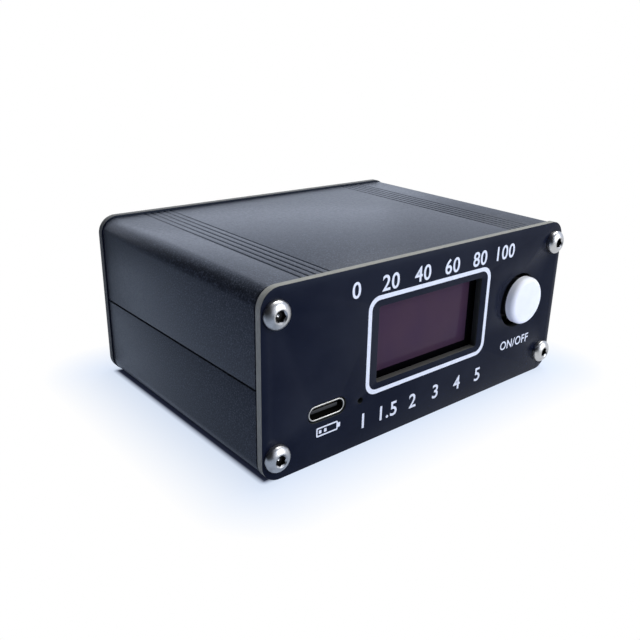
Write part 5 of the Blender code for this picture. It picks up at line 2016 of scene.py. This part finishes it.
@dataclass
class Studio:
    """A pale floor, soft light and the photograph's camera."""

    floor_size: float = 6.0
    floor_colour: Colour = (0.68, 0.74, 0.95)
    base_inset: float = 0.0013
    # Painted contact shadow: the floor's colour right under the case, fading out over the gap range.
    contact_shadow_colour: Colour = (0.12, 0.14, 0.24)
    gap: Point = (0.0, 0.0007)
    contact: Point = (0.0, 0.0014)
    shadow_white: float = 0.86
    shadow_reach: float = 0.017
    # Lavender that the floor's white takes near the meter: painted shade.
    shadow_colour: Colour = (0.75, 0.845, 1.0)
    dark_mirror: Colour = (0.14, 0.17, 0.22)
    dark_reach: Point = (0.065, 0.115)
    dim_mirror: Colour = (0.46, 0.54, 0.68)
    bright_mirror: Colour = (0.92, 0.95, 1.0)
    mirror_turn: Point = (-0.035, 0.015)
    wall_mirror: Colour = (0.76, 0.83, 0.99)
    left_wall: Point = (-0.42, -0.08)
    left_dark: float = 0.02
    ceiling: Point = (0.60, 0.90)
    ceiling_dark: float = 0.45
    camera_place: tuple[float, float, float] = (-0.110757, -0.135089, 0.078337)
    camera_aim: tuple[float, float, float] = (0.007877, -0.003615, 0.009485)
    camera_roll: float = math.radians(1.943)
    lens: float = 41.80
    nearest: float = 0.01
    shift: Point = (-0.0448, 0.0011)
    sky_colour: Colour = (0.86, 0.90, 1.0)
    sky_strength: float = 0.42
    lamps: ClassVar[tuple[Lamp, ...]] = (
        Lamp("key", place=(0.45, 0.10, 1.00), side=0.7, power=11.0, colour=(1.0, 0.99, 0.97)),
        Lamp("front_fill", place=(0.50, -0.90, 0.40), side=0.9, power=7.6, colour=(0.95, 0.97, 1.0)),
        Lamp("rear_sheen", place=(0.38, 0.80, 0.46), side=0.8, power=1.0, colour=(0.76, 0.84, 1.0)),
    )

    def build(self) -> None:
        """Makes the floor, the world, the lamps and the camera."""
        self.floor()
        self.world()
        for lamp in self.lamps:
            lamp.hang()
        self.camera()

    def seen(self, graph: Nodes) -> Socket:
        """Tells the rays that see a surface from those that only gather its light.

        Args:
            graph: The tree to add to.

        Returns:
            1 for rays from the camera, or by way of a reflection or glass, else 0.
        """
        rays = graph.node("ShaderNodeLightPath").outputs
        mirrored = graph.maths("MAXIMUM", rays["Is Glossy Ray"], rays["Is Transmission Ray"])
        return graph.maths("MAXIMUM", rays["Is Camera Ray"], mirrored)

    def floor(self) -> None:
        """A wide floor that keeps the shadow near the meter and turns white further off, with a painted
        contact shadow under the case and painted lavender shade round it.
        """
        graph = Graph("studio_floor")
        case = Box.of("front_panel", "rear_panel")
        half = case.size / 2 - Vector((self.base_inset, self.base_inset, 0))
        away = graph.vectors("ABSOLUTE", graph.spot(case.centre))
        away = graph.vectors("MAXIMUM", graph.vectors("SUBTRACT", away, (half.x, half.y, 1)), ORIGIN)
        far = graph.vectors("LENGTH", away, result="Value")
        contact = graph.span(far, self.contact, (0, self.shadow_white))
        fade = graph.span(far, (self.contact[1], self.shadow_reach), (0, 1 - self.shadow_white))
        share = graph.maths("ADD", contact, fade)
        # Painted contact shadow: dark right under the case, the floor's colour past the gap range.
        paint = graph.blend(graph.span(far, self.gap), self.contact_shadow_colour, self.floor_colour)
        surface = graph.out("ShaderNodeBsdfDiffuse", {"Color": paint})
        mirrored = graph.node("ShaderNodeLightPath").outputs["Is Glossy Ray"]
        # Near the meter the white turns lavender: painted shade.
        white = graph.blend(graph.span(far, (0, self.shadow_reach)), self.shadow_colour, (1, 1, 1))
        left = graph.blend(graph.span(far, self.dark_reach), self.dim_mirror, self.dark_mirror)
        right = graph.span(graph.axis(0, Vector()), self.mirror_turn)
        colour = graph.blend(mirrored, white, graph.blend(right, left, self.bright_mirror))
        white = graph.out("ShaderNodeEmission", {"Color": colour, "Strength": 1.0})
        mask = graph.maths("MULTIPLY", share, self.seen(graph))
        mixed = graph.out("ShaderNodeMixShader", {0: mask, 1: surface, 2: white})
        graph.feed(graph.tree.nodes["Material Output"].inputs["Surface"], mixed)
        bm = bmesh.new()
        bmesh.ops.create_grid(bm, x_segments=1, y_segments=1, size=self.floor_size / 2)
        made = piece("studio_floor", bm, [graph.material])

    def world(self) -> None:
        """White where the camera or a reflection looks, and a soft sky as light."""
        world = bpy.data.worlds.new("studio")
        bpy.context.scene.world = world
        world.use_nodes = True
        graph = Nodes(world.node_tree)
        sky = graph.tree.nodes["Background"]
        graph.feed(sky.inputs["Color"], self.sky_colour)
        graph.feed(sky.inputs["Strength"], self.sky_strength)
        white = graph.out("ShaderNodeBackground", {"Color": self.horizon_glow(graph)})
        mixed = graph.out("ShaderNodeMixShader", {0: self.seen(graph), 1: sky.outputs[0], 2: white})
        graph.feed(graph.tree.nodes["World Output"].inputs["Surface"], mixed)

    def horizon_glow(self, graph: Nodes) -> Socket:
        """The colour round the studio: white, but in reflections dark to the left and above.

        Args:
            graph: The world's nodes.

        Returns:
            The colour.
        """
        direction = graph.node("ShaderNodeTexCoord").outputs["Generated"]
        parts = graph.node("ShaderNodeSeparateXYZ", {0: direction}).outputs
        side = graph.span(parts[0], self.left_wall, (self.left_dark, 1))
        above = graph.span(parts[2], self.ceiling, (1, self.ceiling_dark))
        wall = graph.blend(graph.maths("MULTIPLY", side, above), (0, 0, 0), self.wall_mirror)
        mirrored = graph.node("ShaderNodeLightPath").outputs["Is Glossy Ray"]
        return graph.blend(mirrored, (1, 1, 1), wall)

    def camera(self) -> None:
        """Sets the camera at the photograph's place."""
        lens = bpy.data.cameras.new("camera")
        lens.lens = self.lens
        lens.shift_x, lens.shift_y = self.shift
        lens.clip_start = self.nearest
        made = bpy.data.objects.new("camera", lens)
        place = Vector(self.camera_place)
        look = (Vector(self.camera_aim) - place).to_track_quat("-Z", "Y").to_matrix().to_4x4()
        made.matrix_world = Matrix.Translation(place) @ look @ Matrix.Rotation(self.camera_roll, 4, "Z")
        bpy.context.scene.collection.objects.link(made)
        bpy.context.scene.camera = made


def main() -> None:
    """Builds the studio, the finishes and each sub-assembly."""
    logging.basicConfig(level=logging.INFO, format="%(name)s: %(message)s")
    bpy.context.scene.view_settings.view_transform = "Standard"
    Studio().build()
    palette = Palette.mixed()
    for assembly in (Shells, Panels, Print, Fasteners, Display, Button, Port, Sockets, Interior):
        log.info("building %s", assembly.__name__)
        assembly().build(palette)


if __name__ == "__main__":
    main()
